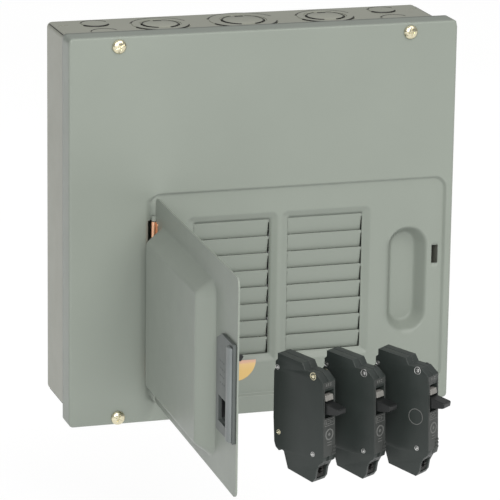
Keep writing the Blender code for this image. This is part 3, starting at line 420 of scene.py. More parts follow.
def lathe(name, profile, place, material, body, sides=48):
    """Turned piece: profile is (radius, height) from the middle out, height along place's Z."""
    bm = bmesh.new()
    rings = []
    for radius, height in profile:
        if radius == 0:
            rings.append([bm.verts.new((0, 0, height))])
        else:
            rings.append([bm.verts.new((radius * cos(2 * pi * i / sides),
                                        radius * sin(2 * pi * i / sides), height))
                          for i in range(sides)])
    for one, two in zip(rings, rings[1:]):
        for i in range(sides):
            j = (i + 1) % sides
            if len(one) == 1:
                bm.faces.new((one[0], two[i], two[j]))
            elif len(two) == 1:
                bm.faces.new((one[i], two[0], one[j]))
            else:
                bm.faces.new((one[i], two[i], two[j], one[j]))
    bmesh.ops.recalc_face_normals(bm, faces=bm.faces)
    bmesh.ops.transform(bm, matrix=place, verts=bm.verts)
    mesh = bpy.data.meshes.new(name)
    bm.to_mesh(mesh)
    bm.free()
    mesh.materials.append(material)
    return place_piece(name, mesh, body, 32)


def block(bm, lo, hi, matrix=Matrix.Identity(4), lean=0.0):
    """One box in bm; lean moves its lower edges along +Y."""
    verts = bmesh.ops.create_cube(bm, size=1.0)["verts"]
    for vert in verts:
        low_end = vert.co.z < 0
        vert.co = Vector([lo[i] + (vert.co[i] + 0.5) * (hi[i] - lo[i]) for i in range(3)])
        if low_end:
            vert.co.y += lean
    bmesh.ops.transform(bm, matrix=matrix, verts=verts)
    return verts


def from_bmesh(name, bm, material, body, smooth=35):
    bmesh.ops.recalc_face_normals(bm, faces=bm.faces)
    mesh = bpy.data.meshes.new(name)
    bm.to_mesh(mesh)
    bm.free()
    mesh.materials.append(material)
    return place_piece(name, mesh, body, smooth)


def facing_front(x, z, y):
    """Places a lathe at (x, y, z) with its own Z towards -Y."""
    return Matrix.Translation((x, y, z)) @ Matrix.Rotation(pi / 2, 4, "X")


# ---- cover ---------------------------------------------------------------------------------------
def tray_rect(column):
    return (column[0] - TRAY_SLOPE, column[1] + TRAY_SLOPE,
            ROWS_LOW - TRAY_SLOPE, ROWS_HIGH + TRAY_SLOPE)


def cover_height(x, z):
    """y of the cover's face at each (x, z)."""
    y = np.full_like(x, FRONT)
    lip = (POCKET[0] - POCKET_LIP, POCKET[1] + POCKET_LIP, POCKET[2] - POCKET_LIP,
           POCKET[3] + POCKET_LIP)
    y = y + POCKET_DEPTH * stamp(x, z, lip, POCKET_R + POCKET_LIP, POCKET_LIP + 0.6 * MM, 0.35)
    for column in COLUMNS:
        y = y + TRAY_DEPTH * stamp(x, z, tray_rect(column), 5.0 * MM, TRAY_SLOPE, 0.16)
    y = y + RECESS_DEPTH * stamp(x, z, RECESS, RECESS_W / 2 - 0.1 * MM, RECESS_RUN, 0.28)
    wave = np.sin(23.0 * x + 0.6) * np.sin(19.0 * z - 0.4)
    return y + 0.12 * MM * wave * np.clip(inside(x, z, FACE, 1 * MM) / (12 * MM), 0, 1)


def hinge_slots():
    return [(POCKET[0] - 1.7 * MM, POCKET[0] + 7.4 * MM, z - HINGE_H / 2 - 0.6 * MM,
             z + HINGE_H / 2 + 0.6 * MM) for _, z in HINGES]


def make_cover():
    """The stamped cover: pocket, strip trays, finger recess, slots and rim."""
    corner = CORNER_R - NOSE_R
    x_marks = [(POCKET[0], 3 * MM), (POCKET[1], 9 * MM), (BOLT_SLOT[0], 0), (BOLT_SLOT[1], 0),
               (FACE[0], 2.2 * MM), (FACE[1], 2.2 * MM),
               (RECESS[0] + 5 * MM, 6 * MM), (RECESS[1] - 5 * MM, 6 * MM), (RECESS_X, 7 * MM)]
    z_marks = [(POCKET[2], 9 * MM), (POCKET[3], 9 * MM), (BOLT_SLOT[2], 0), (BOLT_SLOT[3], 0),
               (FACE[2], 2.2 * MM), (FACE[3], 2.2 * MM),
               (RECESS[2] + 8 * MM, 9 * MM), (RECESS[3] - 8 * MM, 9 * MM)]
    for x0, x1 in COLUMNS:
        x_marks += [(x0 - 3.6 * MM, 4.2 * MM), (x1 + 3.6 * MM, 4.2 * MM), (x0, 0), (x1, 0)]
    z_marks += [(ROWS_LOW - 3.6 * MM, 4.2 * MM), (ROWS_HIGH + 3.6 * MM, 4.2 * MM),
                (ROWS_LOW, 0), (ROWS_HIGH, 0)]
    for hole in hinge_slots():
        x_marks += [(hole[0], 0), (hole[1], 0)]
        z_marks += [(hole[2], 0), (hole[3], 0)]
    fine = 0.8 * MM
    us = grid_lines(FACE[0], FACE[1], x_marks, 4 * MM, fine, 1 * MM)
    vs = grid_lines(FACE[2], FACE[3], z_marks, 4 * MM, fine, 1 * MM)
    holes = [BOLT_SLOT] + hinge_slots() + [(c[0], c[1], ROWS_LOW, ROWS_HIGH) for c in COLUMNS]
    rings = nose_rings(NOSE_R, RIM_BACK - FRONT)
    verts, faces = stamped_sheet(FACE, us, vs, cover_height, corner, holes, rings)
    cover = add_piece("cover_panel", verts, faces, PAINT, "root", 60)
    solidify(cover, SHEET)
    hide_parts("cover")


def make_twistouts():
    """Two columns of tilted strips, each on two nibs; one mesh per column."""
    floor = FRONT + POCKET_DEPTH + TRAY_DEPTH
    for name, (x0, x1) in zip(("left", "right"), COLUMNS):
        bm = bmesh.new()
        for row in range(ROWS):
            z0 = ROWS_LOW + row * ROW_PITCH - SLAT_LAP
            z1 = ROWS_LOW + (row + 1) * ROW_PITCH - 0.1 * MM
            block(bm, (x0 + 0.35 * MM, floor, z0), (x1 - 0.35 * MM, floor + SHEET, z1),
                  lean=SLAT_TILT)
            for edge in (x0, x1):
                block(bm, (edge - 1.6 * MM, floor + 0.25 * MM, z1 - 2.4 * MM),
                      (edge + 1.6 * MM, floor + SHEET - 0.15 * MM, z1 - 0.3 * MM))
        piece = from_bmesh("twistouts_" + name, bm, PAINT, "root")
        bevel(piece, 0.28 * MM, 2)


def make_slot_frames():
    """Turned lips round the hinge slots and the bolt slot."""
    bm = bmesh.new()
    lip = 0.55 * MM
    x0, x1, z0, z1 = BOLT_SLOT
    floor = FRONT + POCKET_DEPTH
    for lo, hi in (((x0 - lip, z0 - lip), (x0, z1 + lip)), ((x1, z0 - lip), (x1 + lip, z1 + lip)),
                   ((x0, z0 - lip), (x1, z0)), ((x0, z1), (x1, z1 + lip))):
        block(bm, (lo[0], floor, lo[1]), (hi[0], floor + 1.6 * MM, hi[1]))
    for x0, x1, z0, z1 in hinge_slots():
        x1 = POCKET[0] - 0.2 * MM
        for lo, hi in (((x0 - lip, z0 - lip), (x0, z1 + lip)), ((x0, z0 - lip), (x1, z0)),
                       ((x0, z1), (x1, z1 + lip))):
            block(bm, (lo[0], FRONT + 0.2 * MM, lo[1]), (hi[0], FRONT + 1.8 * MM, hi[1]))
    frames = from_bmesh("slot_lips", bm, PAINT, "root")
    bevel(frames, 0.22 * MM, 2)


def arc_band(bm, centre, inner, outer, start, stop, z0, z1):
    """A curved bar: part of a ring between two radii, from z0 to z1, angles in degrees."""
    steps = max(3, int((stop - start) / 9))
    rows = []
    for i in range(steps + 1):
        a = radians(start + (stop - start) * i / steps)
        rows.append([bm.verts.new((centre[0] + r * cos(a), centre[1] + r * sin(a), z))
                     for r, z in ((inner, z0), (outer, z0), (outer, z1), (inner, z1))])
    for one, two in zip(rows, rows[1:]):
        for k in range(4):
            m = (k + 1) % 4
            bm.faces.new((one[k], one[m], two[m], two[k]))
    bm.faces.new(rows[0])
    bm.faces.new(rows[-1][::-1])


# Share of the box's width off its middle, then outer and inner radius in mm.
LARGE_KNOCKOUTS = ((-0.226, 22.0, 14.0), (-0.005, 26.0, 16.0), (0.218, 22.0, 14.5))
KNOCKOUT_LINE = 0.41            # share of the box's depth, from its back
OUTER_ARCS = ((20, 160), (200, 340))       # sheared stretches between the tabs, in degrees
INNER_ARCS = ((110, 250), (290, 430))
SMALL_ARCS = ((25, 155), (205, 335))


def make_knockouts():
    """Stamped knockouts of both end walls: stepped plates, and near-black strips on the sheared edges as painted
    shade in the gaps.
    """
    lo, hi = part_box("box")
    depth = hi.y - lo.y
    width = hi.x - lo.x
    lo.z = -hi.z                # the screw ears hang below the lower wall
    for end, wall, up in (("top", hi.z, 1.0), ("bottom", lo.z, -1.0)):
        plates, edges = bmesh.new(), bmesh.new()
        foot = wall - up * 0.2 * MM
        places = [((hi.x + lo.x) / 2 + share * width, hi.y - KNOCKOUT_LINE * depth, outer * MM, inner * MM)
                  for share, outer, inner in LARGE_KNOCKOUTS]
        for x, y, outer, inner in places:
            arc_band(plates, (x, y), inner + 1.6 * MM, outer - 1.4 * MM, 0, 360, foot,
                     wall + up * 0.45 * MM)
            dome = [(0, 1.25), (4.0, 1.2), (8.0, 0.95), (inner / MM - 2.2, 0.6),
                    (inner / MM - 1.4, 0.35), (inner / MM - 1.4, -0.2)]
            tilt = Matrix.Identity(4) if up > 0 else Matrix.Rotation(pi, 4, "X")
            lathe(f"knockout_dome_{end}_{round(inner / MM * 10)}_{'m' if x < -0.01 else 'p'}",
                  [(r * MM, h * MM) for r, h in dome], Matrix.Translation((x, y, wall)) @ tilt,
                  BOX_PAINT, "root", 40)
            # near-black strips on the sheared arcs: painted shade in the knockout gaps
            for start, stop in OUTER_ARCS:
                arc_band(edges, (x, y), outer - 1.5 * MM, outer - 0.6 * MM, start, stop,
                         foot, wall + up * 0.5 * MM)
            for start, stop in INNER_ARCS:
                arc_band(edges, (x, y), inner - 1.4 * MM, inner - 0.6 * MM, start, stop,
                         foot, wall + up * 0.6 * MM)
            # pry slot: a raised near-black block, painted shade of the slot
            pry = inner - 6.0 * MM
            block(edges, (x - 3.0 * MM, y + pry - 1.3 * MM, min(wall, wall + up * 1.15 * MM)),
                  (x + 3.0 * MM, y + pry + 1.3 * MM, max(wall, wall + up * 1.15 * MM)))
        for side in (-1, 1):
            x = (hi.x + lo.x) / 2 + side * (width / 2 - 31.5 * MM)
            for y in (hi.y - 14.5 * MM, hi.y - 44.5 * MM):
                arc_band(plates, (x, y), 0.4 * MM, 9.6 * MM, 0, 360, foot,
                         wall + up * 0.5 * MM)
                for start, stop in SMALL_ARCS:
                    arc_band(edges, (x, y), 9.5 * MM, 10.5 * MM, start, stop,
                             foot, wall + up * 0.6 * MM)
        plate = from_bmesh("knockout_plates_" + end, plates, BOX_PAINT, "root", 30)
        bevel(plate, 0.2 * MM, 2)
        # all the knockout edge strips are painted shade
        edge = from_bmesh("knockout_shade_edges_" + end, edges, PAINTED_SHADE_STEEL, "root", 30)


def make_corner_shade_lines():
    """Near-black strips along the four long corners of the box: painted shade at the corner folds."""
    lo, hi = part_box("box")
    lo.z = -hi.z                # without the screw ears, as above
    bm = bmesh.new()
    for x, sx in ((lo.x, 1), (hi.x, -1)):
        for z, sz in ((lo.z, 1), (hi.z, -1)):
            turn = Matrix.Translation((x + sx * 1.25 * MM, 0, z + sz * 1.25 * MM))
            turn = turn @ Matrix.Rotation(sx * sz * pi / 4, 4, "Y")
            block(bm, (-0.35 * MM, lo.y + 1 * MM, -0.5 * MM), (0.35 * MM, hi.y - 3 * MM, 0.5 * MM),
                  turn)
    # near-black steel strips: painted shade along the corner folds
    shade_lines = from_bmesh("corner_shade_lines", bm, PAINTED_SHADE_STEEL, "root")
    bevel(shade_lines, 0.12 * MM, 1)


def make_cover_screws():
    """Pan heads with a slot and a cross, slightly turned from one another."""
    profile = [(0, 2.55), (1.3, 2.52), (2.6, 2.33), (3.7, 1.98), (4.6, 1.40), (5.05, 0.8),
               (5.2, 0.35), (5.12, 0.02), (4.8, 0.0), (2.0, 0.0), (1.95, -12.0), (1.2, -13.2),
               (0, -13.4)]
    profile = [(r * MM, h * MM) for r, h in profile]
    for number, side in enumerate(("top_left", "top_right", "bottom_left", "bottom_right")):
        node = "cover_screw_" + side
        lo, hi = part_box(node)
        x, z = (lo.x + hi.x) / 2, (lo.z + hi.z) / 2
        place = facing_front(x, z, lo.y + 2.6 * MM)
        head = lathe("screw_" + side, profile, place, ZINC, "root", 40)
        turn = place @ Matrix.Rotation(0.5 + 1.1 * number, 4, "Z")
        bm = bmesh.new()
        block(bm, (-6 * MM, -0.5 * MM, 1.75 * MM), (6 * MM, 0.5 * MM, 4 * MM), turn)
        slot_cutter = cutter("cutter_slot_" + side, bm)
        bm = bmesh.new()
        block(bm, (-0.5 * MM, -2.5 * MM, 1.2 * MM), (0.5 * MM, 2.5 * MM, 4 * MM), turn)
        cross_cutter = cutter("cutter_cross_" + side, bm)
        for tool in (slot_cutter, cross_cutter):
            carve(head, tool)
        bevel(head, 0.12 * MM, 1, 40)
        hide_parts(node)


def cutter(name, bm):
    """A hidden piece that only carves others."""
    bmesh.ops.recalc_face_normals(bm, faces=bm.faces)
    mesh = bpy.data.meshes.new(name)
    bm.to_mesh(mesh)
    bm.free()
    obj = bpy.data.objects.new(name, mesh)
    bpy.context.scene.collection.objects.link(obj)
    obj.hide_render = True
    obj.hide_viewport = True
    return obj


def carve(obj, tool):
    """Cuts a hidden tool out of a piece."""
    mod = obj.modifiers.new("carve", "BOOLEAN")
    mod.operation = "DIFFERENCE"
    mod.solver = "EXACT"
    mod.object = tool


# ---- door ----------------------------------------------------------------------------------------
def door_turn():
    """From the closed door's frame, on the hinge axis, to the row frame at rest."""
    return Matrix.Translation((HINGE_X, FRONT, 0)) @ Matrix.Rotation(-DOOR_OPEN, 4, "Z")


def dish_rect():
    hinge, free, bottom, top = DISH_BORDERS
    return (hinge, DOOR_W - free, DOOR_B + bottom, DOOR_T - top)


def door_height(x, z):
    """y of the shut door's face at each (x, z)."""
    y = np.full_like(x, DOOR_FACE)
    y = y - DISH_RAISE * stamp(x, z, dish_rect(), DISH_R, DISH_RUN, 0.2)
    return y + 0.1 * MM * np.sin(31.0 * x) * np.sin(27.0 * z + 1.0)


def make_door():
    """The door with its raised centre, latch hole, bolt hole and rolled knuckles."""
    rect = (0.4 * MM, DOOR_W, DOOR_B, DOOR_T)
    foot = dish_rect()
    x_marks = [(foot[0] + DISH_RUN / 2, DISH_RUN / 2 + 1 * MM), (foot[0] + DISH_R, 4 * MM),
               (foot[1] - DISH_RUN / 2, DISH_RUN / 2 + 1 * MM), (foot[1] - DISH_R, 4 * MM),
               (rect[0], 5 * MM), (rect[1], 5 * MM), (LATCH_HOLE[0], 0), (LATCH_HOLE[1], 0)]
    z_marks = [(foot[2] + DISH_RUN / 2, DISH_RUN / 2 + 1 * MM), (foot[2] + DISH_R, 4 * MM),
               (foot[3] - DISH_RUN / 2, DISH_RUN / 2 + 1 * MM), (foot[3] - DISH_R, 4 * MM),
               (rect[2], 5 * MM), (rect[3], 5 * MM), (LATCH_HOLE[2], 0), (LATCH_HOLE[3], 0)]
    notches = []
    for _, z in HINGES:
        notch = (-1 * MM, 3.3 * MM, z - HINGE_H / 2 - 0.3 * MM, z + HINGE_H / 2 + 0.3 * MM)
        notches.append(notch)
        x_marks.append((notch[1], 0))
        z_marks += [(notch[2], 0), (notch[3], 0)]
    bolt = (BOLT_SLOT[0] - HINGE_X, BOLT_SLOT[1] - HINGE_X, BOLT_SLOT[2] + 0.5 * MM,
            BOLT_SLOT[3] + 0.5 * MM)
    x_marks += [(bolt[0], 0), (bolt[1], 0)]
    z_marks += [(bolt[2], 0), (bolt[3], 0)]
    fine = 0.9 * MM
    us = grid_lines(rect[0], rect[1], x_marks, 4 * MM, fine, 1 * MM)
    vs = grid_lines(rect[2], rect[3], z_marks, 4 * MM, fine, 1 * MM)
    holes = notches + [LATCH_HOLE, bolt]
    verts, faces = stamped_sheet(rect, us, vs, door_height, DOOR_CORNER_R, holes, [])
    turn = door_turn()
    verts = [turn @ Vector(v) for v in verts]
    door = add_piece("door_panel", verts, faces, PAINT, "door", 50)
    solidify(door, SHEET, solid_side(door, turn))
    bevel(door, 0.3 * MM, 2, 60)
    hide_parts("door")
    bm = bmesh.new()
    for _, z in HINGES:
        for z0 in (z - HINGE_H / 2 - 4.3 * MM, z + HINGE_H / 2 + 0.3 * MM):
            curl(bm, turn, z0, z0 + 4.0 * MM)
    knuckles = from_bmesh("door_knuckles", bm, PAINT, "door", 40)
    bevel(knuckles, 0.2 * MM, 2, 50)


def make_latch_housing():
    """Moulded plate with a round bar, a thumb window and a scooped ramp beside it."""
    turn = door_turn()
    x0, x1, z0, z1 = LATCH_PLACE
    chop = 6.0 * MM
    out, back = DOOR_FACE - LATCH_PLATE, DOOR_FACE - 0.1 * MM
    shape = [(x0, z0), (x1, z0 + 1.5 * MM), (x1, z1), (x0 + 2.2 * chop, z1), (x0, z1 - chop)]
    window = [(LATCH_WINDOW[0], LATCH_WINDOW[2]), (LATCH_WINDOW[1], LATCH_WINDOW[2]),
              (LATCH_WINDOW[1], LATCH_WINDOW[3]), (LATCH_WINDOW[0], LATCH_WINDOW[3])]
    bm = bmesh.new()
    extrude(bm, shape, out, back, turn)
    tool_bm = bmesh.new()
    extrude(tool_bm, window, out - 2 * MM, back + 2 * MM, turn)
    tool = cutter("cutter_window", tool_bm)
    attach(tool, "door")
    plate = from_bmesh("latch_plate", bm, LATCH, "door")
    carve(plate, tool)
    bevel(plate, 0.5 * MM, 3, 40)
    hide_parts("latch_housing")
    bm = bmesh.new()
    w0, w1, w2, w3 = LATCH_WINDOW
    deep = DOOR_FACE + TUB_DEPTH
    shallow, full = DOOR_FACE + 2.4 * MM, deep - 1 * MM
    for lo, hi, end in (((w0 - 0.3 * MM, w2 - 0.3 * MM), (w0 + 0.8 * MM, w3), shallow),
                        ((w0, w2 - 0.3 * MM), (LATCH_TUB[1] - 4 * MM, w2 + 0.8 * MM), shallow),
                        ((LATCH_TUB[0] + GAP, LATCH_TUB[3] - 1.4 * MM),
                         (LATCH_TUB[1] - GAP, LATCH_TUB[3] - GAP), full),
                        ((LATCH_TUB[0] + GAP, w3), (LATCH_TUB[0] + 1.1 * MM, LATCH_TUB[3] - GAP), full),
                        ((LATCH_TUB[1] - 1.4 * MM, w2 + 4 * MM),
                         (LATCH_TUB[1] - GAP, LATCH_TUB[3] - 8 * MM), full)):
        block(bm, (lo[0], back - 0.4 * MM, lo[1]), (hi[0], end, hi[1]), turn)
    tub = from_bmesh("latch_tub", bm, LATCH, "door")
    bevel(tub, 0.25 * MM, 2)
    bm = bmesh.new()
    ramp = [(w1 - 5.6 * MM + 5.4 * MM * sin(a), out + 0.3 * MM + 5.4 * MM * cos(a))
            for a in (radians(9 * i) for i in range(11))]
    ramp += [(w1 + 0.4 * MM, out + 0.3 * MM), (w1 + 0.4 * MM, out + 5.8 * MM)]
    low_ring = [bm.verts.new(turn @ Vector((x, y, w2 + 0.7 * MM))) for x, y in ramp]
    high_ring = [bm.verts.new(turn @ Vector((x, y, w3 - 0.1 * MM))) for x, y in ramp]
    fill_prism(bm, low_ring, high_ring)
    # ramp in the lightened latch plastic: painted highlight
    scoop = from_bmesh("latch_ramp", bm, LATCH_PAINTED_HIGHLIGHT, "door", 40)
    bm = bmesh.new()
    mid, half = x1 - 6.0 * MM, 4.6 * MM
    bar = [(mid - half * cos(a), out + 0.2 * MM - (LATCH_BAR - LATCH_PLATE + 1.6 * MM) * sin(a) ** 0.8)
           for a in (pi * i / 16 for i in range(17))]
    low_ring = [bm.verts.new(turn @ Vector((x, y, z0 + 2.2 * MM))) for x, y in bar]
    high_ring = [bm.verts.new(turn @ Vector((x, y, z1 - 2.6 * MM))) for x, y in bar]
    fill_prism(bm, low_ring, high_ring)
    # grip bar in the lightened latch plastic: painted highlight
    grip = from_bmesh("latch_grip", bm, LATCH_PAINTED_HIGHLIGHT, "door", 50)
    bevel(grip, 0.7 * MM, 3, 60)
    bm = bmesh.new()
    for row in range(4):
        for column in range(3):
            x = x0 + (9.0 + 4.5 * column + 1.2 * (row % 2)) * MM
            z = z1 - (20.0 + 5.0 * row) * MM
            block(bm, (x, out - 0.18 * MM, z), (x + 1.9 * MM, out + 0.2 * MM, z + 0.8 * MM), turn)
    ticks = from_bmesh("latch_ticks", bm, LATCH, "door")
    bevel(ticks, 0.1 * MM, 1)


def extrude(bm, shape, y0, y1, place):
    """Prism of an (x, z) outline between two y values."""
    front = [bm.verts.new(place @ Vector((x, y0, z))) for x, z in shape]
    back = [bm.verts.new(place @ Vector((x, y1, z))) for x, z in shape]
    fill_prism(bm, front, back)


def fill_prism(bm, one, two):
    """Side and end faces between two loops of vertices."""
    bm.faces.new(one)
    bm.faces.new(two[::-1])
    for i in range(len(one)):
        j = (i + 1) % len(one)
        bm.faces.new((one[i], two[i], two[j], one[j]))


def make_hinge_leaves():
    """Copper hinge leaves lapped over the door's hinge edge."""
    turn = door_turn()
    bm = bmesh.new()
    for _, z in HINGES:
        half = HINGE_H / 2 - 0.6 * MM
        block(bm, (1.9 * MM, DOOR_FACE - 0.75 * MM, z - half),
              (7.6 * MM, DOOR_FACE + 0.2 * MM, z + half), turn)
    leaves = from_bmesh("door_hinge_leaves", bm, COPPER, "door")
    bevel(leaves, 0.3 * MM, 3)


def make_latch_slide():
    """Thumb slide with a scooped grip, an arm and a small hooked bolt."""
    turn = door_turn()
    skin = DOOR_FACE - LATCH_PLATE + TUB_WALL + GAP
    x0, x1 = LATCH_TUB[0] + TUB_WALL + GAP, LATCH_TUB[1] - TUB_WALL - GAP
    z0 = LATCH_TUB[2] + TUB_WALL + GAP
    top = BOLT_LOW + BOLT_H
    back = DOOR_FACE + TUB_DEPTH - 1 * MM
    bolt_x = (BOLT_SLOT[0] + BOLT_SLOT[1]) / 2 - HINGE_X
    bm = bmesh.new()
    block(bm, (x0, back - 2.0 * MM, z0), (x1, back, top - 1 * MM), turn)
    block(bm, (x0, skin, z0), (x0 + 1.4 * MM, back, top - 2 * MM), turn)
    block(bm, (x1 - 6.2 * MM, skin, z0), (x1, back, top - 2 * MM), turn)
    block(bm, (x0, skin, z0 + 18 * MM), (x1, back, top - 2 * MM), turn)
    for step in range(5):
        low = z0 + (3.2 + 2.6 * step) * MM
        block(bm, (x0 + 1.2 * MM, back - 3.0 * MM, low), (x1 - 6.0 * MM, back - 1.9 * MM,
                                                          low + 1.1 * MM), turn)
    block(bm, (x1 - 1 * MM, skin + 0.2 * MM, top - 3.4 * MM),
          (bolt_x + 1.4 * MM, DOOR_FACE - 2 * GAP, top - 0.2 * MM), turn)
    hook = top + 2.0 * MM
    block(bm, (bolt_x - 0.9 * MM, skin + 0.25 * MM, top - 3.0 * MM),
          (bolt_x + 0.9 * MM, DOOR_FACE + 1.6 * MM, hook - 0.6 * MM), turn)
    block(bm, (bolt_x - 0.9 * MM, DOOR_FACE + 1.0 * MM, hook - 1.6 * MM),
          (bolt_x + 0.9 * MM, DOOR_FACE + 4.6 * MM, hook), turn)
    block(bm, (bolt_x - 0.9 * MM, DOOR_FACE + 3.0 * MM, hook - 4.4 * MM),
          (bolt_x + 0.9 * MM, DOOR_FACE + 5.4 * MM, hook - 1.2 * MM), turn, lean=-1.8 * MM)
    slide = from_bmesh("thumb_slide", bm, BLACK, "latch_slider")
    bevel(slide, 0.35 * MM, 2)
    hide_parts("latch_slider")


def solid_side(obj, turn):
    """Solidify offset that thickens the sheet towards the door's inner side."""
    inward = turn.to_3x3() @ Vector((0, 1, 0))
    total = Vector((0, 0, 0))
    for poly in obj.data.polygons:
        total += poly.normal * poly.area
    return 1.0 if total.dot(inward) > 0 else -1.0


def curl(bm, turn, z0, z1, radius=2.15 * MM, thick=1.1 * MM, steps=18):
    """A rolled knuckle on the door's hinge edge: a strip bent round the pin."""
    outer, inner = [], []
    for i in range(steps + 1):
        a = radians(-30 + 290 * i / steps)
        outer.append((radius * sin(a), radius * cos(a)))
        inner.append(((radius - thick) * sin(a), (radius - thick) * cos(a)))
    path = outer + inner[::-1]
    low_ring = [bm.verts.new(turn @ Vector((x, y, z0))) for x, y in path]
    high_ring = [bm.verts.new(turn @ Vector((x, y, z1))) for x, y in path]
    count = len(path)
    for i in range(count):
        j = (i + 1) % count
        bm.faces.new((low_ring[i], low_ring[j], high_ring[j], high_ring[i]))
    for i in range(steps):
        a, b, c, d = i, i + 1, count - 2 - i, count - 1 - i
        bm.faces.new((low_ring[a], low_ring[b], low_ring[c], low_ring[d]))
        bm.faces.new((high_ring[a], high_ring[b], high_ring[c], high_ring[d]))


# ---- breakers ------------------------------------------------------------------------------------
BREAKER_T = 12.7 * MM
FACE_LOW = (44.0, 18.4)         # depth and height of the face's lower and upper end, in mm
FACE_HIGH = (42.5, 70.4)
HANDLE_Z = 52.5                 # height of the handle's pivot, in mm
HANDLE_PIVOT = 6.5              # behind the face, in mm


def face_depth(height):
    """Depth of the face in front of the back at a height, all in mm."""
    share = (height - FACE_LOW[1]) / (FACE_HIGH[1] - FACE_LOW[1])
    return FACE_LOW[0] + share * (FACE_HIGH[0] - FACE_LOW[0])


def toggle_place(tag):
    """Place and turn of a breaker's lever joint."""
    joint = [j for j in frame["joints"] if j["name"] == f"breaker_{tag}_toggle"][0]
    axis = Vector(joint["axis"])
    return Matrix.Translation(joint["pos_m"]) @ Matrix.Rotation(atan2(axis.y, axis.x), 4, "Z")


def breaker_place(tag):
    """Breaker frame from its lever joint: left side x = 0, back y = 0, base z = 0."""
    local = Vector((BREAKER_T / 2, -(face_depth(HANDLE_Z) - HANDLE_PIVOT) * MM, HANDLE_Z * MM))
    return toggle_place(tag) @ Matrix.Translation(-local)


def on_face(height, proud=0.0):
    """y of the breaker's face at a height in mm, proud mm in front of it."""
    return -(face_depth(height) + proud) * MM


def face_patch(bm, place, x0, x1, z0, z1, proud, sink=0.3):
    """A thin raised patch on the breaker's front face, sizes in mm."""
    back = min(face_depth(z0), face_depth(z1)) - sink
    front_low = face_depth(z0) + proud
    front_high = face_depth(z1) + proud
    verts = block(bm, (x0 * MM, -1 * MM, z0 * MM), (x1 * MM, 0, z1 * MM))
    for vert in verts:
        low_end = vert.co.z < (z0 + z1) / 2 * MM
        if vert.co.y < -0.5 * MM:
            vert.co.y = -(front_low if low_end else front_high) * MM
        else:
            vert.co.y = -back * MM
    bmesh.ops.transform(bm, matrix=place, verts=verts)


def make_handle(tag):
    """Toggle handle: a round hub and a paddle that thins towards its raised end."""
    place = toggle_place(tag) @ Matrix.Rotation(radians(8.0), 4, "X")
    half = 4.2 * MM
    side = [(-17.3, -0.1), (-17.5, 0.6), (-17.4, 3.0), (-16.9, 3.6), (-6.0, 4.3), (-3.0, 5.0),
            (0.0, 5.4), (3.8, 3.8), (5.4, 0.0), (3.8, -3.8), (0.0, -5.4), (-3.8, -4.4), (-7.0, -3.4),
            (-16.0, -0.7)]
    bm = bmesh.new()
    left = [bm.verts.new((-half, y * MM, z * MM)) for y, z in side]
    right = [bm.verts.new((half, y * MM, z * MM)) for y, z in side]
    fill_prism(bm, left, right)
    bmesh.ops.transform(bm, matrix=place, verts=bm.verts)
    handle = from_bmesh(f"toggle_{tag}", bm, BLACK, f"breaker_{tag}_handle", 30)
    bevel(handle, 0.4 * MM, 3, 30)
    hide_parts(f"breaker_{tag}_handle")


def open_terminal(tag, place, body):
    """Opens the wire terminal's mouth through the case's left corner."""
    bm = bmesh.new()
    outline = [(38.6, 6.2), (40.2, 4.2), (50.0, 4.2), (50.0, 12.6), (40.8, 12.6), (38.6, 10.6)]
    near = [bm.verts.new((-2 * MM, -d * MM, z * MM)) for d, z in outline]
    far = [bm.verts.new((10.9 * MM, -d * MM, z * MM)) for d, z in outline]
    fill_prism(bm, near, far)
    bmesh.ops.transform(bm, matrix=place, verts=bm.verts)
    tool = cutter("cutter_mouth_" + tag, bm)
    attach(tool, body)
    for side in ("left", "right"):
        carve(frame["nodes"][f"breaker_{tag}_case_{side}"], tool)


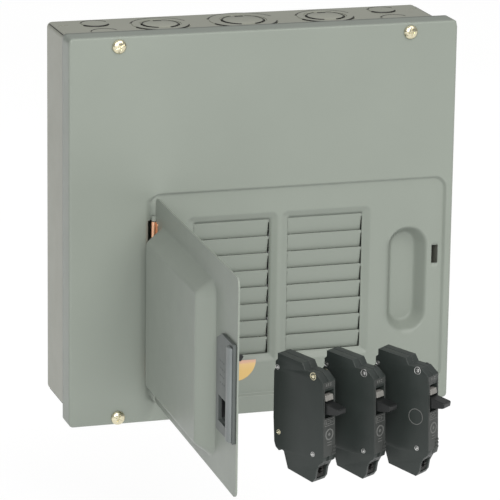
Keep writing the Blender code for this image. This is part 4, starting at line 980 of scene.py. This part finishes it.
def make_breaker_details(tag, number):
    """Trim, marks, indicator, handle, terminal mouth and rivets of one breaker."""
    place = breaker_place(tag)
    body = "breaker_" + tag
    frame_bm = bmesh.new()
    face_patch(frame_bm, place, 0.5, 12.2, 19.0, 45.6, 0.12)
    face_patch(frame_bm, place, 0.5, 12.2, 65.6, 70.0, 0.12)
    face_patch(frame_bm, place, 0.9, 1.7, 45.4, 66.4, 0.35)
    face_patch(frame_bm, place, 11.0, 11.8, 45.4, 66.4, 0.35)
    for step, height in enumerate((19.2, 21.6, 24.0)):
        face_patch(frame_bm, place, 8.6 + 0.6 * step, 12.4, height, height + 1.5, 0.55)
    trim = from_bmesh(f"face_trim_{tag}", frame_bm, FACE_PHENOLIC, body)
    bevel(trim, 0.12 * MM, 2)
    marks = bmesh.new()
    for x0, x1, z0, z1 in ((1.6, 11.2, 44.2, 44.7), (1.6, 11.2, 40.0, 40.5), (1.6, 2.1, 40.5, 44.2),
                           (10.7, 11.2, 40.5, 44.2), (3.0, 3.7, 41.2, 43.6), (4.4, 6.6, 41.2, 41.8),
                           (4.4, 6.6, 43.0, 43.6), (7.4, 8.1, 41.2, 43.6), (8.7, 9.6, 42.0, 42.7),
                           (3.2, 4.0, 67.2, 69.0), (5.0, 5.8, 67.2, 69.0), (6.8, 8.6, 67.2, 67.8),
                           (6.8, 8.6, 68.4, 69.0), (4.2, 8.4, 28.4, 28.9), (4.2, 8.4, 26.6, 27.1)):
        face_patch(marks, place, x0, x1, z0, z1, 0.3, 0.1)
    mark_piece = from_bmesh(f"face_marks_{tag}", marks, MARKS, body)
    bevel(mark_piece, 0.06 * MM, 1)
    ring = [(3.0, -0.2), (3.0, 0.25), (3.3, 0.38), (3.7, 0.38), (4.0, 0.22), (4.0, -0.2)]
    centre = Vector((6.35 * MM, on_face(34.0), 34.0 * MM))
    at = place @ Matrix.Translation(centre) @ Matrix.Rotation(pi / 2, 4, "X")
    ring_piece = lathe(f"face_ring_{tag}", [(r * MM, h * MM) for r, h in ring], at, MARKS,
                       body, 40)
    dot = [(0, 0.4), (0.8, 0.36), (1.1, 0.2), (1.1, -0.2)]
    dot_piece = lathe(f"face_dot_{tag}", [(r * MM, h * MM) for r, h in dot], at, MARKS, body, 24)
    window = bmesh.new()
    block(window, (2.5 * MM, on_face(60) - 0.2 * MM, 57.2 * MM),
          (10.2 * MM, on_face(60) + 4.0 * MM, 61.0 * MM), place, lean=-0.7 * MM)
    grey = from_bmesh(f"indicator_{tag}", window, GREY_BLOCK, body + "_handle")
    bevel(grey, 0.5 * MM, 3)
    make_handle(tag)
    open_terminal(tag, place, body)
    rivet = [(0, 0.35), (1.0, 0.3), (1.35, 0.1), (1.5, -0.25), (1.9, -0.3), (2.05, 0.1),
             (2.35, 0.22), (2.6, 0.12), (2.7, -0.4)]
    small = [(0, 0.25), (0.7, 0.2), (1.0, 0.05), (1.1, -0.2), (1.4, 0.1), (1.7, 0.06), (1.75, -0.3)]
    spots = [("upper", 34.0, 73.2, rivet, ZINC if number == 0 else STEEL, "zinc"),
             ("back", 3.0, 73.0, small, STEEL, "steel"),
             ("rear", 4.9, 28.3, small, ZINC, "zinc"),
             ("front", 35.0, 19.6, small, STEEL, "steel")]
    for side, x, spin in (("left", 0.0, -1), ("right", BREAKER_T, 1)):
        for name, depth, height, shape, metal, slot_name in spots:
            spot = place @ Matrix.Translation((x, -depth * MM, height * MM))
            at = spot @ Matrix.Rotation(spin * pi / 2, 4, "Y")
            piece = lathe(f"rivet_{tag}_{side}_{name}", [(r * MM, h * MM) for r, h in shape], at,
                          metal, body, 24)
    if number == 2:
        mark = [(5.0, -0.1), (5.05, 0.08), (5.3, 0.14), (5.55, 0.08), (5.6, -0.1)]
        spot = place @ Matrix.Translation((0, -33.6 * MM, 41.3 * MM))
        at = spot @ Matrix.Rotation(-pi / 2, 4, "Y")
        piece = lathe(f"side_ring_{tag}", [(r * MM, h * MM) for r, h in mark], at, MARKS,
                      body, 48)


# ---- CAD nodes that show -------------------------------------------------------------------------
def dress_nodes():
    """Materials and small bevels on the CAD nodes that stay visible."""
    slots = {row["node"]: row["material_slot"] for row in frame["record"]["subparts"]}
    for name, obj in frame["nodes"].items():
        obj.data.materials.clear()
        material = SLOTS[slots[name]]
        if name == "box":
            material = BOX_PAINT
        # load terminals and their screws get the darkened metal: painted shade in the wire mouths
        if "load_terminal" in name or "terminal_screw" in name:
            material = SHADED_TERMINAL
        obj.data.materials.append(material)
        hidden = ("cover", "door", "latch_slider", "latch_housing", "sticker")
        if name in hidden or name.startswith("cover_screw") or name.endswith("_handle"):
            continue
        width = 0.25 * MM
        if "case_" in name:
            width = 0.35 * MM
        if name in ("box", "interior_pan"):
            width = 0.4 * MM
        bevel(obj, width, 2, 30)
        obj.data.shade_smooth()


# ---- camera, light and floor ---------------------------------------------------------------------
CAMERA_LENS = 246.3             # mm, on a 36 mm wide sensor
CAMERA_PLACE = (-0.72555, -2.3517, 0.62925)
CAMERA_TURN = (0.305, 0.266, 0.014)        # yaw, pitch and roll, in radians
LIGHT_TARGET = (0, -0.07, 0)    # about the middle of the cover's face
LIGHT_SIZE = 1.3
FLOOR_Z = -0.30
FLOOR_R = 7.0
FLOOR_GLOW = 0.84               # keeps the floor pale from every side
ROOM_GLOW = (0.20, 0.72)        # strength at the horizon and near the ceiling


def make_camera():
    """Long-lens camera above and to the left of the panel."""
    camera = bpy.data.cameras.new("camera")
    camera.lens = CAMERA_LENS
    camera.sensor_width = 36.0
    camera.clip_end = 30.0
    obj = bpy.data.objects.new("camera", camera)
    bpy.context.scene.collection.objects.link(obj)
    yaw, pitch, roll = CAMERA_TURN
    turn = (Matrix.Rotation(roll, 3, "Y") @ Matrix.Rotation(pitch, 3, "X")
            @ Matrix.Rotation(yaw, 3, "Z"))
    right, forward, up = turn[0], turn[1], turn[2]
    basis = Matrix((right, up, -forward)).transposed().to_4x4()
    obj.matrix_world = Matrix.Translation(CAMERA_PLACE) @ basis
    bpy.context.scene.camera = obj


def area_light(name, place, power, colour):
    """A square soft light aimed at the panel."""
    light = bpy.data.lights.new(name, "AREA")
    light.shape = "SQUARE"
    light.size = LIGHT_SIZE
    light.energy = power
    light.color = colour
    obj = bpy.data.objects.new(name, light)
    bpy.context.scene.collection.objects.link(obj)
    aim = Vector(LIGHT_TARGET) - Vector(place)
    obj.rotation_euler = aim.to_track_quat("-Z", "Y").to_euler()
    obj.location = place


def make_floor():
    """A plain pale floor, the same all over."""
    bm = bmesh.new()
    bmesh.ops.create_circle(bm, cap_ends=True, segments=96, radius=FLOOR_R)
    mesh = bpy.data.meshes.new("floor")
    bm.to_mesh(mesh)
    bm.free()
    obj = bpy.data.objects.new("floor", mesh)
    obj.location = (0, 0, FLOOR_Z)
    bpy.context.scene.collection.objects.link(obj)
    s = Surface("floor_white", 0.9)
    s.base(s.ramp(s.noise(2.0), [(0.3, (0.18, 0.18, 0.18)), (0.7, (0.2, 0.2, 0.2))]))
    s.shader.inputs["Emission Color"].default_value = (1, 1, 1, 1)
    s.shader.inputs["Emission Strength"].default_value = FLOOR_GLOW
    mesh.materials.append(s.mat)


def make_world():
    """A soft grey room that brightens towards the ceiling."""
    world = bpy.data.worlds.new("studio")
    bpy.context.scene.world = world
    world.use_nodes = True
    tree = world.node_tree
    background = tree.nodes["Background"]
    coords = tree.nodes.new("ShaderNodeTexCoord")
    split = tree.nodes.new("ShaderNodeSeparateXYZ")
    ramp = tree.nodes.new("ShaderNodeMapRange")
    tree.links.new(coords.outputs["Generated"], split.inputs["Vector"])
    tree.links.new(split.outputs["Z"], ramp.inputs["Value"])
    ramp.inputs["From Min"].default_value = 0.0
    ramp.inputs["From Max"].default_value = 0.9
    ramp.inputs["To Min"].default_value = ROOM_GLOW[0]
    ramp.inputs["To Max"].default_value = ROOM_GLOW[1]
    tree.links.new(ramp.outputs["Result"], background.inputs["Strength"])
    background.inputs["Color"].default_value = (1, 1, 1, 1)


make_cover()
make_twistouts()
make_slot_frames()
make_knockouts()
make_corner_shade_lines()
make_cover_screws()
make_door()
make_latch_housing()
make_latch_slide()
make_hinge_leaves()
for index, tag in enumerate(("1", "2", "3")):
    make_breaker_details(tag, index)
dress_nodes()
make_camera()
area_light("key", (0.9, -2.0, 1.9), 31.0, (1.0, 0.985, 0.95))
area_light("fill", (-0.7, -2.4, 0.95), 47.0, (1.0, 0.995, 0.98))
make_floor()
make_world()
bpy.context.scene.view_settings.view_transform = "Standard"
